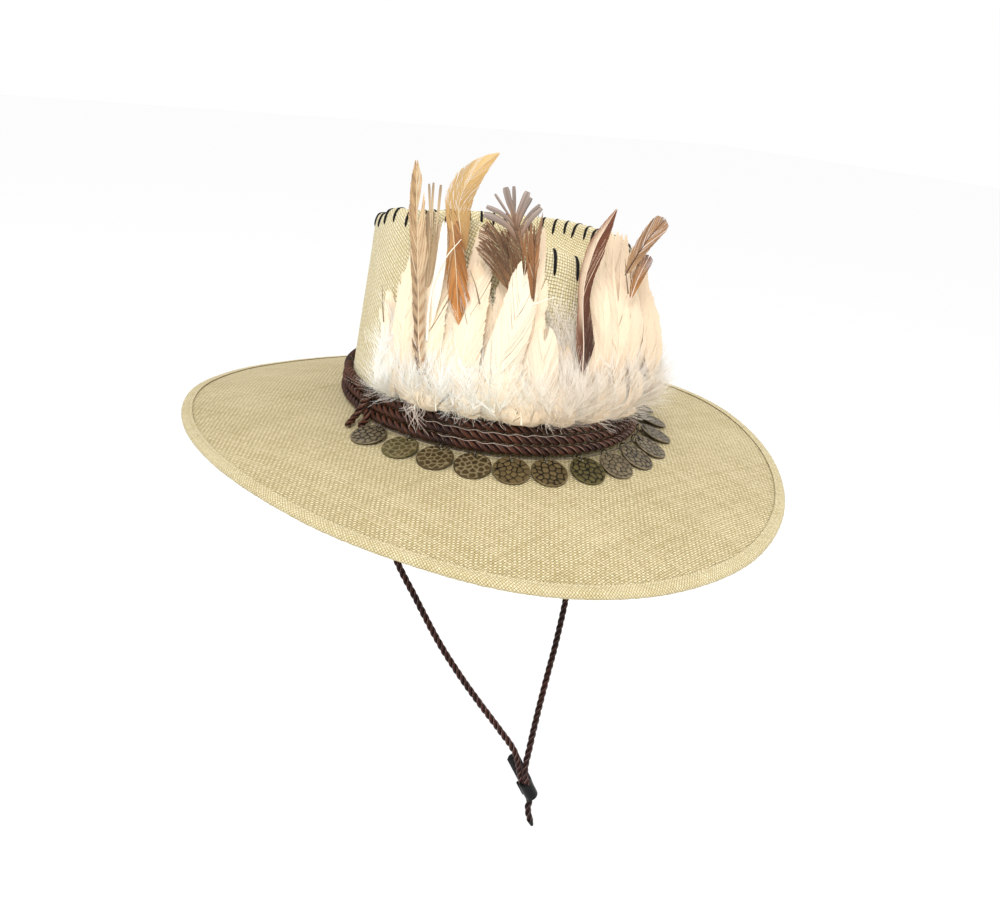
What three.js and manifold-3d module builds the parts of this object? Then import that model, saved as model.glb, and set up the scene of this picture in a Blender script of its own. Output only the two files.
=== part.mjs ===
import * as THREE from "three";
import { mergeVertices } from "three/addons/utils/BufferGeometryUtils.js";
import Module from "manifold-3d";

// Western hat of stiffened straw cloth with a three-cord band, a row of coins, a feather plume
// and a chin strap. Millimetres, +Z up along the crown. The front faces -Y and the wearer's left
// is +X. The origin is the centre of the head opening, level with the foot of the crown.
// A turn is an angle round the crown in degrees: 0 at the front, 90 at the wearer's left.

// Crown
const headLength = 198;
const headWidth = 170;
const cloth = 2;
// Gap that every pair of touching pieces keeps
const clearance = 0.3;
const topLength = 176;
const topWidth = 152;
const dishDepth = 20;
const dishInset = 15;
const dishCentreHeight = 93;
const wallTopDrop = 7;
const wallMiddle = 0.5;
const floorMiddle = 0.45;
// The raised rim in section, from the dish outwards: distance in from the wall, drop below the rim
const rimCrest = [
  { inset: 10.5, drop: 14.5 },
  { inset: 8, drop: 7 },
  { inset: 6.6, drop: 2 },
  { inset: 4, drop: 0 },
  { inset: 1.2, drop: 1.6 },
];
// The inside of the fold under it, from the wall inwards
const rimFold = [
  { inset: 4, drop: 2.4 },
  { inset: 6, drop: 8 },
  { inset: 8.6, drop: 15.8 },
];
const rimHeights = [
  { turn: -180, height: 113 },
  { turn: -145, height: 113 },
  { turn: -115, height: 117 },
  { turn: -90, height: 126 },
  { turn: -60, height: 129 },
  { turn: -37, height: 126 },
  { turn: -17, height: 117 },
  { turn: 4, height: 111 },
  { turn: 32, height: 116 },
  { turn: 60, height: 115 },
  { turn: 105, height: 116 },
  { turn: 145, height: 114 },
  { turn: 180, height: 113 },
];

// Brim: how far its edge lies below the head opening, and how that changes round the hat
const brimLength = 412.8;
const brimWidth = 382.8;
const brimDrop = 21;
const frontDip = 6;
const sideCurl = 10;
const brimStraightness = 0.8;
const brimShares = [0, 0.3, 0.65, 1];

// Folded tape round the brim's edge
const bindingWidth = 5;
const bindingCloth = 0.7;
const foldInside = 0.4;
const foldBend = 0.9;
const foldReach = 1.6;

// Three twisted cords round the foot of the crown
const bandCordRadius = 3;
const bandCordSides = 7;
const bandCords = [
  { name: "band_cord_lower", height: 3.9 },
  { name: "band_cord_middle", height: 10.2 },
  { name: "band_cord_upper", height: 16.5 },
];
// Knot: a turn of cord over the stack. out is the distance from the foot of the crown's wall
const knotRadius = 2.5;
const knotSides = 8;
const knotSteps = 8;
const knotRows = [
  { turn: -79.5, out: 8.6, height: 19 },
  { turn: -81.5, out: 9.2, height: 17.6 },
  { turn: -83.2, out: 9.8, height: 13.6 },
  { turn: -84.2, out: 10.2, height: 9.6 },
  { turn: -84.6, out: 10.5, height: 6.2 },
];
// Cut ends of the knot. lift is the height of the cord's underside over the brim
const tailRadius = 1.9;
const longTailSteps = 6;
const shortTailSteps = 5;
const longTail = [
  { turn: -84.6, out: 14.6, lift: 2.2 },
  { turn: -83.8, out: 17.4, lift: 1.2 },
  { turn: -83, out: 20.2, lift: 0.6 },
  { turn: -82.3, out: 23, lift: 0.3 },
];
const shortTail = [
  { turn: -80.6, out: 12.6, lift: 1 },
  { turn: -80.2, out: 15.2, lift: 0.6 },
  { turn: -79.9, out: 17.6, lift: 0.3 },
];

// Coins, their jump rings and the thread that carries the rings
const coinTurns = [-73.5, -61.7, -50.4, -39.2, -27.8, -16.1, -2.8, 9.3, 21.1, 33, 46.5, 60, 73];
const coinRadius = 10.8;
const coinThickness = 0.9;
const coinHoleRadius = 1.5;
const coinHoleInset = 2.5;
const coinSides = 12;
const coinHoleSides = 8;
const tiltPasses = 6;
const ringRadius = 2.6;
const ringWireRadius = 0.45;
const ringWireSides = 5;
const ringSides = 10;
const ringTuck = 0.4;
const threadSlack = 0.1;
const threadRadius = 0.5;
const threadInset = 1.3;
const threadSides = 5;
const threadStep = 5;

// Feathers: a sewn strip behind the cords, and the locks that are fused to it
const strip = { fromTurn: -82.5, toTurn: 82.5, fade: 15, bottom: 6, top: 34, thickness: 1.2 };
const lockRootHeight = 22;
// Shape that all locks share: where its sections lie, where its swell ends, how wide its root is,
// how much it narrows, and how thick it is at the root and more at the belly
const leaf = {
  stations: [0, 0.15, 0.42, 0.8],
  swellEnd: 0.8,
  rootShare: 0.6,
  taper: 0.5,
  rootHalf: 0.5,
  bellyHalf: 1.6,
};
const creamLocks = [
  { turn: -79.5, tipTurn: -84, tipHeight: 82, swell: 7, tipOut: 4, width: 19 },
  { turn: -71, tipTurn: -76, tipHeight: 104, swell: 9, tipOut: 5, width: 24 },
  { turn: -62, tipTurn: -65, tipHeight: 98, swell: 11, tipOut: 6, width: 26 },
  { turn: -52, tipTurn: -58, tipHeight: 118, swell: 12, tipOut: 7, width: 22 },
  { turn: -42, tipTurn: -48, tipHeight: 108, swell: 13, tipOut: 8, width: 26 },
  { turn: -31, tipTurn: -28, tipHeight: 112, swell: 14, tipOut: 9, width: 22 },
  { turn: -21, tipTurn: -24, tipHeight: 96, swell: 13, tipOut: 8, width: 24 },
  { turn: -11, tipTurn: -13, tipHeight: 74, swell: 12, tipOut: 7, width: 26 },
  { turn: 0, tipTurn: 3, tipHeight: 86, swell: 13, tipOut: 8, width: 24 },
  { turn: 10, tipTurn: 12, tipHeight: 102, swell: 14, tipOut: 9, width: 24 },
  { turn: 20, tipTurn: 23, tipHeight: 112, swell: 15, tipOut: 10, width: 24 },
  { turn: 31, tipTurn: 33, tipHeight: 110, swell: 15, tipOut: 10, width: 26 },
  { turn: 42, tipTurn: 45, tipHeight: 100, swell: 15, tipOut: 9, width: 26 },
  { turn: 53, tipTurn: 56, tipHeight: 92, swell: 14, tipOut: 8, width: 26 },
  { turn: 64, tipTurn: 67, tipHeight: 82, swell: 12, tipOut: 6, width: 26 },
  { turn: 75, tipTurn: 78, tipHeight: 66, swell: 9, tipOut: 4, width: 24 },
];
const accentLocks = [
  { turn: -66, tipTurn: -73, tipHeight: 156, swell: 12, tipOut: 9, width: 13 },
  { turn: -54, tipTurn: -41, tipHeight: 167, swell: 14, tipOut: 12, width: 19 },
  { turn: -36, tipTurn: -44, tipHeight: 140, swell: 16, tipOut: 12, width: 14 },
  { turn: -35, tipTurn: -35, tipHeight: 150, swell: 17, tipOut: 12, width: 17 },
  { turn: -34, tipTurn: -25, tipHeight: 143, swell: 16, tipOut: 12, width: 14 },
  { turn: -5, tipTurn: 8, tipHeight: 142, swell: 17, tipOut: 11, width: 12 },
  { turn: 27, tipTurn: 47, tipHeight: 132, swell: 18, tipOut: 14, width: 15 },
];

// Chin strap: the points that each cord follows, from the wall of the crown down to the lock
const chinCordRadius = 2.3;
const chinCordSides = 8;
const strapSteps = 28;
const chinTailSteps = 4;
const leftStrap = [
  [80.7, 5, 15],
  [81.4, 5, 8],
  [82.1, 4, 0],
  [81.8, 1, -9],
  [80.2, -4, -22],
  [74.8, -14, -48],
  [66.8, -27, -82],
  [56.3, -43, -123],
  [40, -57.5, -161],
  [29, -66, -181],
  [15.3, -77.6, -201.5],
  [3.6, -88.4, -217.5],
  [-1.5, -92.8, -230.8],
];
const rightStrap = [
  [-80.7, 5, 15],
  [-81.4, 5, 8],
  [-82.1, 4, 0],
  [-81.9, 1.5, -10],
  [-81, -1.5, -28],
  [-77.6, -9.2, -57],
  [-71.6, -19, -92],
  [-61.2, -32.6, -119],
  [-49.6, -48, -147],
  [-38, -60.8, -169],
  [-27, -70.8, -187],
  [-17, -79.2, -202.5],
  [-7.2, -86.6, -219],
];
const chinTail = [
  [3.4, -95, -261.6],
  [3.3, -97.2, -267],
  [5.5, -99.8, -274.7],
];

// Lock on the chin strap: an oval head that grips the cords, and a flatter plunger behind them.
// Its face is turned a little to the wearer's right. Widths run across that face, and depths off it
const lockTop = new THREE.Vector3(-7.3, -85, -225.2);
const lockFoot = new THREE.Vector3(6.8, -94.4, -254.8);
const lockFacing = new THREE.Vector3(-0.55, -0.8, 0.25);
const lockHeadShare = 0.41;
const lockHeadWidth = 9.2;
const lockHeadDepth = 12;
const lockHeadSides = 12;
const lockEdge = 0.6;
const lockFootShare = 0.7;
const lockFootBevel = 0.6;
const lockFootRound = 3.5;
const plungerWidth = 8.8;
const plungerDepth = 4.4;
const plungerSides = 10;
const plungerSunk = 2;
const plungerRound = 3;
const plungerBehind = 5.2;
// Where the cords end at the lock: up from its head or foot, across its face, and forward of it.
// A cord that comes in at a slant stops a little further off, so that its rim stays clear
const leftEnd = { above: 1.6, sideways: 1.8, forward: 3.4 };
const rightEnd = { above: 1.5, sideways: -1.6, forward: -0.4 };
const tailEnd = { below: 1.4, sideways: -3, forward: 0 };

// Colours of the separate materials
const straw = new THREE.MeshStandardMaterial({ color: 0xe2d3a4, roughness: 0.9, metalness: 0 });
const tape = new THREE.MeshStandardMaterial({ color: 0xdccb98, roughness: 0.9, metalness: 0 });
const burgundy = new THREE.MeshStandardMaterial({ color: 0x4a2320, roughness: 0.6, metalness: 0 });
const bronze = new THREE.MeshStandardMaterial({ color: 0x6b5d3c, roughness: 0.45, metalness: 0.9 });
const darkSteel = new THREE.MeshStandardMaterial({ color: 0x3a342c, roughness: 0.4, metalness: 0.9 });
const cream = new THREE.MeshStandardMaterial({ color: 0xf3e9d8, roughness: 0.8, metalness: 0 });
const black = new THREE.MeshStandardMaterial({ color: 0x161616, roughness: 0.4, metalness: 0 });

const weldDistance = 1e-4;
const turnStep = 7.5;
const fullRound = 360;
const turnsRound = Array.from({ length: fullRound / turnStep }, (_, i) => -180 + i * turnStep);
const lerp = THREE.MathUtils.lerp;
const radians = THREE.MathUtils.degToRad;
const vertical = new THREE.Vector3(0, 0, 1);

// Smooth value of a table of turns and heights, for any turn from -180 to 180
function rimHeight(turn) {
  const wrapped = THREE.MathUtils.euclideanModulo(turn + 180, fullRound) - 180;
  const next = rimHeights.findIndex((row) => row.turn > wrapped);
  const after = rimHeights[next < 0 ? rimHeights.length - 1 : next];
  const before = rimHeights[next < 0 ? rimHeights.length - 2 : next - 1];
  const part = (wrapped - before.turn) / (after.turn - before.turn);
  return lerp(before.height, after.height, THREE.MathUtils.smoothstep(part, 0, 1));
}

function ovalPoint(turn, halfLength, halfWidth, height) {
  const angle = radians(turn);
  return new THREE.Vector3(halfWidth * Math.sin(angle), -halfLength * Math.cos(angle), height);
}

// Point beside the crown's outer wall, at a height and a distance out from it
function wallPoint(turn, height, out = 0) {
  const rise = height / rimHeight(turn);
  const halfLength = lerp(headLength / 2 + cloth, topLength / 2, rise) + out;
  const halfWidth = lerp(headWidth / 2 + cloth, topWidth / 2, rise) + out;
  return ovalPoint(turn, halfLength, halfWidth, height);
}

// Point near the rim, at a distance in from the outer wall and a drop below the rim
function rimPoint(turn, inset, drop) {
  const height = rimHeight(turn) - drop;
  return ovalPoint(turn, topLength / 2 - inset, topWidth / 2 - inset, height);
}

// Point on the floor of the dished top: share is 0 at its centre and 1 where it meets its wall
function dishPoint(turn, share, below = 0) {
  const corner = rimHeight(turn) - dishDepth;
  const height = lerp(dishCentreHeight, corner, share * share) - below;
  const halfLength = (topLength / 2 - dishInset) * share;
  const halfWidth = (topWidth / 2 - dishInset) * share;
  return ovalPoint(turn, halfLength, halfWidth, height);
}

// Height of the brim's edge
function edgeHeight(turn) {
  const angle = radians(turn);
  return -brimDrop - frontDip * Math.cos(angle) - sideCurl * Math.cos(2 * angle);
}

// Point on the brim's upper face: share is 0 at the head opening and 1 at the edge
function brimPoint(turn, share, below = 0) {
  const halfLength = lerp(headLength / 2, brimLength / 2, share);
  const halfWidth = lerp(headWidth / 2, brimWidth / 2, share);
  const fall = brimStraightness * share + (1 - brimStraightness) * share * share;
  const height = lerp(-clearance, edgeHeight(turn), fall) - below;
  return ovalPoint(turn, halfLength, halfWidth, height);
}
const brimSpan = (brimLength - headLength) / 2;

// Level direction that points straight out from the crown at a turn
function outward(turn) {
  const ahead = wallPoint(turn + 1, 0);
  const behind = wallPoint(turn - 1, 0);
  return ahead.sub(behind).cross(vertical).normalize();
}

// Closed geometry from its corners and triangles, turned so that its faces point out
function closedGeometry(corners, triangles) {
  let volume = 0;
  for (const [a, b, c] of triangles) {
    volume += corners[a].dot(new THREE.Vector3().crossVectors(corners[b], corners[c]));
  }
  const facing = volume > 0 ? triangles : triangles.map(([a, b, c]) => [a, c, b]);
  const geometry = new THREE.BufferGeometry();
  const coordinates = corners.flatMap((corner) => corner.toArray());
  geometry.setAttribute("position", new THREE.Float32BufferAttribute(coordinates, 3));
  geometry.setIndex(facing.flat());
  geometry.computeVertexNormals();
  return geometry;
}

// Skin through rings of points. ends says how it closes: "join" runs the last ring into the
// first, and a pair of points closes each end with a fan
function loft(rings, ends) {
  const count = rings[0].length;
  const corners = rings.flat();
  const triangles = [];
  const last = ends === "join" ? rings.length : rings.length - 1;
  for (let r = 0; r < last; r += 1) {
    const here = r * count;
    const there = ((r + 1) % rings.length) * count;
    for (let i = 0; i < count; i += 1) {
      const j = (i + 1) % count;
      triangles.push([here + i, here + j, there + j], [here + i, there + j, there + i]);
    }
  }
  if (ends !== "join") {
    const [first, final] = ends;
    const start = corners.push(first) - 1;
    const stop = corners.push(final) - 1;
    const lastRing = (rings.length - 1) * count;
    for (let i = 0; i < count; i += 1) {
      const j = (i + 1) % count;
      triangles.push([start, j, i], [stop, lastRing + i, lastRing + j]);
    }
  }
  return closedGeometry(corners, triangles);
}

function centreOf(points) {
  return points.reduce((sum, p) => sum.add(p), new THREE.Vector3()).divideScalar(points.length);
}

const hat = new THREE.Group();
hat.name = "western_hat";

function addPiece(name, geometry, material) {
  const mesh = new THREE.Mesh(geometry, material);
  mesh.name = name;
  hat.add(mesh);
  return mesh;
}

// Crown: one shell, from the centre of the dished top out over the rim and down the wall, then
// back up the inside
function crownGeometry() {
  const outer = [
    (turn) => dishPoint(turn, floorMiddle),
    (turn) => dishPoint(turn, 1),
    ...rimCrest.map(({ inset, drop }) => (turn) => rimPoint(turn, inset, drop)),
    (turn) => wallPoint(turn, rimHeight(turn) - wallTopDrop),
    (turn) => wallPoint(turn, rimHeight(turn) * wallMiddle),
    (turn) => wallPoint(turn, 0),
  ];
  const inner = [
    (turn) => wallPoint(turn, 0, -cloth),
    (turn) => wallPoint(turn, rimHeight(turn) * wallMiddle, -cloth),
    (turn) => wallPoint(turn, rimHeight(turn) - wallTopDrop, -cloth),
    ...rimFold.map(({ inset, drop }) => (turn) => rimPoint(turn, inset, drop)),
    (turn) => dishPoint(turn, 1, cloth),
    (turn) => dishPoint(turn, floorMiddle, cloth),
  ];
  const rings = [...outer, ...inner].map((place) => turnsRound.map(place));
  const top = new THREE.Vector3(0, 0, dishCentreHeight);
  const under = new THREE.Vector3(0, 0, dishCentreHeight - cloth);
  return loft(rings, [top, under]);
}

// Brim: a sloping ring whose inner edge lies under the crown's wall
function brimGeometry() {
  const upper = brimShares.map((share) => turnsRound.map((turn) => brimPoint(turn, share)));
  const lower = brimShares
    .toReversed()
    .map((share) => turnsRound.map((turn) => brimPoint(turn, share, cloth)));
  return loft([...upper, ...lower], "join");
}

// Binding: tape folded over the brim's edge. across runs out from the edge, up from mid-thickness
function bindingGeometry() {
  const inside = cloth / 2 + clearance;
  const outside = inside + bindingCloth;
  const section = [
    { across: -bindingWidth, up: outside },
    { across: foldBend, up: outside },
    { across: foldReach, up: 0 },
    { across: foldBend, up: -outside },
    { across: -bindingWidth, up: -outside },
    { across: -bindingWidth, up: -inside },
    { across: foldInside, up: -inside },
    { across: foldInside, up: inside },
    { across: -bindingWidth, up: inside },
  ];
  const rings = section.map(({ across, up }) =>
    turnsRound.map((turn) => brimPoint(turn, 1 + across / brimSpan, cloth / 2 - up)),
  );
  return loft(rings, "join");
}

// Room that the cords leave for the feather strip behind them: 1 over the strip, 0 elsewhere
function stripPresence(turn) {
  const rising = THREE.MathUtils.smoothstep(turn, strip.fromTurn - strip.fade, strip.fromTurn);
  const falling = THREE.MathUtils.smoothstep(turn, strip.toTurn, strip.toTurn + strip.fade);
  return rising - falling;
}

function bandCordOut(turn) {
  return clearance + bandCordRadius + stripPresence(turn) * (strip.thickness + clearance);
}

// Round section of points about a centre, in the upright plane that looks along the crown's wall
function uprightSection(centre, turn, radius, sides) {
  const out = outward(turn);
  return Array.from({ length: sides }, (_, i) => {
    const angle = (2 * Math.PI * i) / sides;
    const along = out.clone().multiplyScalar(radius * Math.cos(angle));
    return centre.clone().add(along).addScaledVector(vertical, radius * Math.sin(angle));
  });
}

function bandCordGeometry(height) {
  const rings = turnsRound.map((turn) => {
    const centre = wallPoint(turn, height, bandCordOut(turn));
    return uprightSection(centre, turn, bandCordRadius, bandCordSides);
  });
  return loft(rings, "join");
}

// Corners of a regular polygon in the plane of a section
function polygon(radius, sides, centre = 0) {
  return Array.from({ length: sides }, (_, i) => {
    const angle = (2 * Math.PI * i) / sides;
    return new THREE.Vector2(centre + radius * Math.cos(angle), radius * Math.sin(angle));
  });
}

// Tube along a smooth curve through points
function tubeGeometry(points, radius, sides, steps) {
  const section = new THREE.Shape(polygon(radius, sides));
  const path = new THREE.CatmullRomCurve3(points, false, "centripetal");
  return new THREE.ExtrudeGeometry(section, { steps, bevelEnabled: false, extrudePath: path });
}

// Point by its distance out from the crown's foot wall, for the pieces that lie on the brim
function besideCrown(turn, out, height) {
  return ovalPoint(turn, headLength / 2 + cloth + out, headWidth / 2 + cloth + out, height);
}

function brimHeight(turn, out) {
  return brimPoint(turn, (cloth + out) / brimSpan).z;
}

// Knot over the stacked cords, and its cut ends on the brim
const knotLine = knotRows.map(({ turn, out, height }) => besideCrown(turn, out, height));

function tailLine(rows) {
  return rows.map(({ turn, out, lift }) => {
    return besideCrown(turn, out, brimHeight(turn, out) + tailRadius + lift);
  });
}

// Jump rings stand upright against the lower cord and just over the brim
function ringCentre(turn) {
  const cordOut = bandCordOut(turn) - ringTuck;
  const overBrim = ringRadius + ringWireRadius + clearance;
  const reach = overBrim + bandCordRadius + threadSlack;
  const guess = brimHeight(turn, cordOut + reach) + overBrim;
  const out = cordOut + Math.sqrt(reach ** 2 - (bandCords[0].height - guess) ** 2);
  return { out, height: brimHeight(turn, out) + overBrim };
}

function threadGeometry() {
  const first = coinTurns[0] - threadStep;
  const count = Math.ceil((coinTurns.at(-1) + threadStep - first) / threadStep);
  const rings = Array.from({ length: count + 1 }, (_, i) => {
    const turn = first + i * threadStep;
    const { out, height } = ringCentre(turn);
    return uprightSection(besideCrown(turn, out - threadInset, height), turn, threadRadius, threadSides);
  });
  return loft(rings, [centreOf(rings[0]), centreOf(rings.at(-1))]);
}

function coinShape() {
  const disc = new THREE.Shape(polygon(coinRadius, coinSides));
  disc.holes.push(new THREE.Path(polygon(coinHoleRadius, coinHoleSides, coinHoleInset - coinRadius)));
  return disc;
}

// A coin hangs from the outermost point of its ring, and its far edge rests on the brim. The tilt
// is found by trying it, measuring where the edge comes, and correcting it
function coinPlacement(turn) {
  const { out, height } = ringCentre(turn);
  const holeOut = out + ringRadius;
  const holeToEdge = 2 * coinRadius - coinHoleInset;
  const holeToCentre = coinRadius - coinHoleInset;
  let tilt = 0;
  for (let pass = 0; pass < tiltPasses; pass += 1) {
    const edgeOut = holeOut + holeToEdge * Math.cos(tilt);
    const rest = brimHeight(turn, edgeOut) + clearance + coinThickness / 2;
    tilt = Math.asin((height - rest) / holeToEdge);
  }
  const centreOut = holeOut + holeToCentre * Math.cos(tilt);
  const centre = besideCrown(turn, centreOut, height - holeToCentre * Math.sin(tilt));
  const away = outward(turn);
  const downhill = away.clone().multiplyScalar(Math.cos(tilt)).addScaledVector(vertical, -Math.sin(tilt));
  const sideways = vertical.clone().cross(away);
  const normal = downhill.clone().cross(sideways);
  return new THREE.Matrix4().makeBasis(downhill, sideways, normal).setPosition(centre);
}

function ringPlacement(turn) {
  const { out, height } = ringCentre(turn);
  const away = outward(turn);
  const basis = new THREE.Matrix4().makeBasis(away, vertical, away.clone().cross(vertical));
  return basis.setPosition(besideCrown(turn, out, height));
}

function addCoins() {
  coinTurns.forEach((turn, i) => {
    const label = String(i + 1).padStart(2, "0");
    const coin = new THREE.ExtrudeGeometry(coinShape(), { depth: coinThickness, bevelEnabled: false });
    coin.translate(0, 0, -coinThickness / 2);
    addPiece(`coin_${label}`, coin, bronze).applyMatrix4(coinPlacement(turn));
    const ring = new THREE.TorusGeometry(ringRadius, ringWireRadius, ringWireSides, ringSides);
    addPiece(`coin_ring_${label}`, ring, darkSteel).applyMatrix4(ringPlacement(turn));
  });
}

const wasm = await Module();
wasm.setup();

function toSolid(geometry) {
  const bare = geometry.clone();
  bare.deleteAttribute("normal");
  if (bare.hasAttribute("uv")) bare.deleteAttribute("uv");
  const merged = mergeVertices(bare, weldDistance);
  return new wasm.Manifold(
    new wasm.Mesh({
      numProp: 3,
      vertProperties: new Float32Array(merged.getAttribute("position").array),
      triVerts: new Uint32Array(merged.getIndex().array),
    }),
  );
}

function fromSolid(solid) {
  const { vertProperties, triVerts } = solid.getMesh();
  const geometry = new THREE.BufferGeometry();
  geometry.setAttribute("position", new THREE.BufferAttribute(vertProperties, 3));
  geometry.setIndex(new THREE.BufferAttribute(triVerts, 1));
  geometry.computeVertexNormals();
  return geometry;
}

// Sewn strip that lies between the crown's wall and the cords
function stripGeometry() {
  const rings = [];
  for (let turn = strip.fromTurn; turn <= strip.toTurn; turn += turnStep) {
    rings.push([
      wallPoint(turn, strip.bottom, clearance),
      wallPoint(turn, strip.bottom, clearance + strip.thickness),
      wallPoint(turn, strip.top, clearance + strip.thickness),
      wallPoint(turn, strip.top, clearance),
    ]);
  }
  return loft(rings, [centreOf(rings[0]), centreOf(rings.at(-1))]);
}

// One lock of the plume: a leaf that swells out from the strip and narrows to its tip
function lockGeometry({ turn, tipTurn, tipHeight, swell, tipOut, width }) {
  const turnAt = (part) => lerp(turn, tipTurn, part ** 2);
  const centreAt = (part) => {
    const bulge = swell * Math.sin(Math.PI * Math.min(1, part / leaf.swellEnd));
    const out = clearance + strip.thickness / 2 + bulge + tipOut * part;
    return wallPoint(turnAt(part), lerp(lockRootHeight, tipHeight, part), out);
  };
  const rings = leaf.stations.map((part) => {
    const centre = centreAt(part);
    const out = outward(turnAt(part));
    const sideways = vertical.clone().cross(out);
    const belly = Math.sin(Math.PI * part);
    const halfWidth = (width / 2) * lerp(leaf.rootShare, 1, belly) * (1 - leaf.taper * part ** 4);
    const halfThickness = leaf.rootHalf + leaf.bellyHalf * belly * (1 - leaf.taper * part);
    return [
      centre.clone().addScaledVector(sideways, halfWidth),
      centre.clone().addScaledVector(out, halfThickness),
      centre.clone().addScaledVector(sideways, -halfWidth),
      centre.clone().addScaledVector(out, -halfThickness),
    ];
  });
  return loft(rings, [centreOf(rings[0]), centreAt(1)]);
}

function plumeGeometry() {
  let plume = toSolid(stripGeometry());
  for (const row of [...creamLocks, ...accentLocks]) {
    plume = plume.add(toSolid(lockGeometry(row)));
  }
  return fromSolid(plume);
}

// Lock on the strap: both halves are turned shapes along one slanting axis
const lockAxis = lockTop.clone().sub(lockFoot).normalize();
const lockSideways = lockAxis.clone().cross(lockFacing).normalize();
const lockForward = lockSideways.clone().cross(lockAxis);
const lockLength = lockTop.distanceTo(lockFoot);
const lockHeadLength = lockLength * lockHeadShare;

// Point at a distance up the lock's axis, across its face and forward of it
function lockPoint(along, sideways, forward) {
  const point = lockFoot.clone().addScaledVector(lockAxis, along);
  return point.addScaledVector(lockSideways, sideways).addScaledVector(lockForward, forward);
}

// Turned shape along the lock's axis. depthShare is how deep the oval is for its width
function lockPart(profile, sides, depthShare, base) {
  const corners = profile.map(({ radius, along }) => new THREE.Vector2(radius, along));
  const geometry = new THREE.LatheGeometry(corners, sides);
  geometry.scale(1, 1, depthShare);
  const basis = new THREE.Matrix4().makeBasis(lockSideways, lockAxis, lockForward);
  geometry.applyMatrix4(basis.setPosition(base));
  return geometry;
}

function cordLockGeometry() {
  const headRadius = lockHeadWidth / 2;
  const headProfile = [
    { radius: 0, along: 0 },
    { radius: headRadius * lockFootShare, along: lockFootBevel },
    { radius: headRadius, along: lockFootRound },
    { radius: headRadius, along: lockHeadLength - lockEdge },
    { radius: headRadius - lockEdge, along: lockHeadLength },
    { radius: 0, along: lockHeadLength },
  ];
  const plungerRadius = plungerWidth / 2;
  const plungerLength = lockLength - lockHeadLength;
  const plungerProfile = [
    { radius: 0, along: -plungerSunk },
    { radius: plungerRadius, along: -plungerSunk },
    { radius: plungerRadius, along: plungerLength - plungerRound },
    { radius: plungerRadius - plungerRound, along: plungerLength },
    { radius: 0, along: plungerLength },
  ];
  const plungerBase = lockPoint(lockHeadLength, 0, -plungerBehind);
  const head = lockPart(headProfile, lockHeadSides, lockHeadDepth / lockHeadWidth, lockFoot);
  const plunger = lockPart(plungerProfile, plungerSides, plungerDepth / plungerWidth, plungerBase);
  return fromSolid(toSolid(head).add(toSolid(plunger)));
}

// The two cords meet the top of the lock's head side by side, and the tail leaves its foot
const leftMeets = lockPoint(lockHeadLength + leftEnd.above, leftEnd.sideways, leftEnd.forward);
const rightMeets = lockPoint(lockHeadLength + rightEnd.above, rightEnd.sideways, rightEnd.forward);
const tailStart = lockPoint(-tailEnd.below, tailEnd.sideways, tailEnd.forward);
const toPoints = (rows) => rows.map((row) => new THREE.Vector3(...row));

addPiece("crown", crownGeometry(), straw);
addPiece("brim", brimGeometry(), straw);
addPiece("brim_binding", bindingGeometry(), tape);
for (const { name, height } of bandCords) {
  addPiece(name, bandCordGeometry(height), burgundy);
}
addPiece("band_knot", tubeGeometry(knotLine, knotRadius, knotSides, knotSteps), burgundy);
const tails = [
  { name: "band_tail_long", rows: longTail, steps: longTailSteps },
  { name: "band_tail_short", rows: shortTail, steps: shortTailSteps },
];
for (const { name, rows, steps } of tails) {
  addPiece(name, tubeGeometry(tailLine(rows), tailRadius, knotSides, steps), burgundy);
}
addPiece("coin_thread", threadGeometry(), burgundy);
addCoins();
addPiece("feather_plume", plumeGeometry(), cream);
const chinCords = [
  { name: "chin_cord_left", points: [...toPoints(leftStrap), leftMeets], steps: strapSteps },
  { name: "chin_cord_right", points: [...toPoints(rightStrap), rightMeets], steps: strapSteps },
  { name: "chin_cord_tail", points: [tailStart, ...toPoints(chinTail)], steps: chinTailSteps },
];
for (const { name, points, steps } of chinCords) {
  addPiece(name, tubeGeometry(points, chinCordRadius, chinCordSides, steps), burgundy);
}
addPiece("cord_lock", cordLockGeometry(), black);

export default hat;
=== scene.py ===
# %% [markdown]
# # A straw-cloth western hat, dressed piece by piece
# The hat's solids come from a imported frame: crown, brim, cords, coins, feathers and chin strap,
# all in metres, with +Z up, the front facing -Y and the wearer's left at +X. This lesson loads
# them first and then gives every piece its real surface around the same sizes. Nothing is moved
# or resized, so the dressed hat can be swapped for the plain one at any time.

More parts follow.
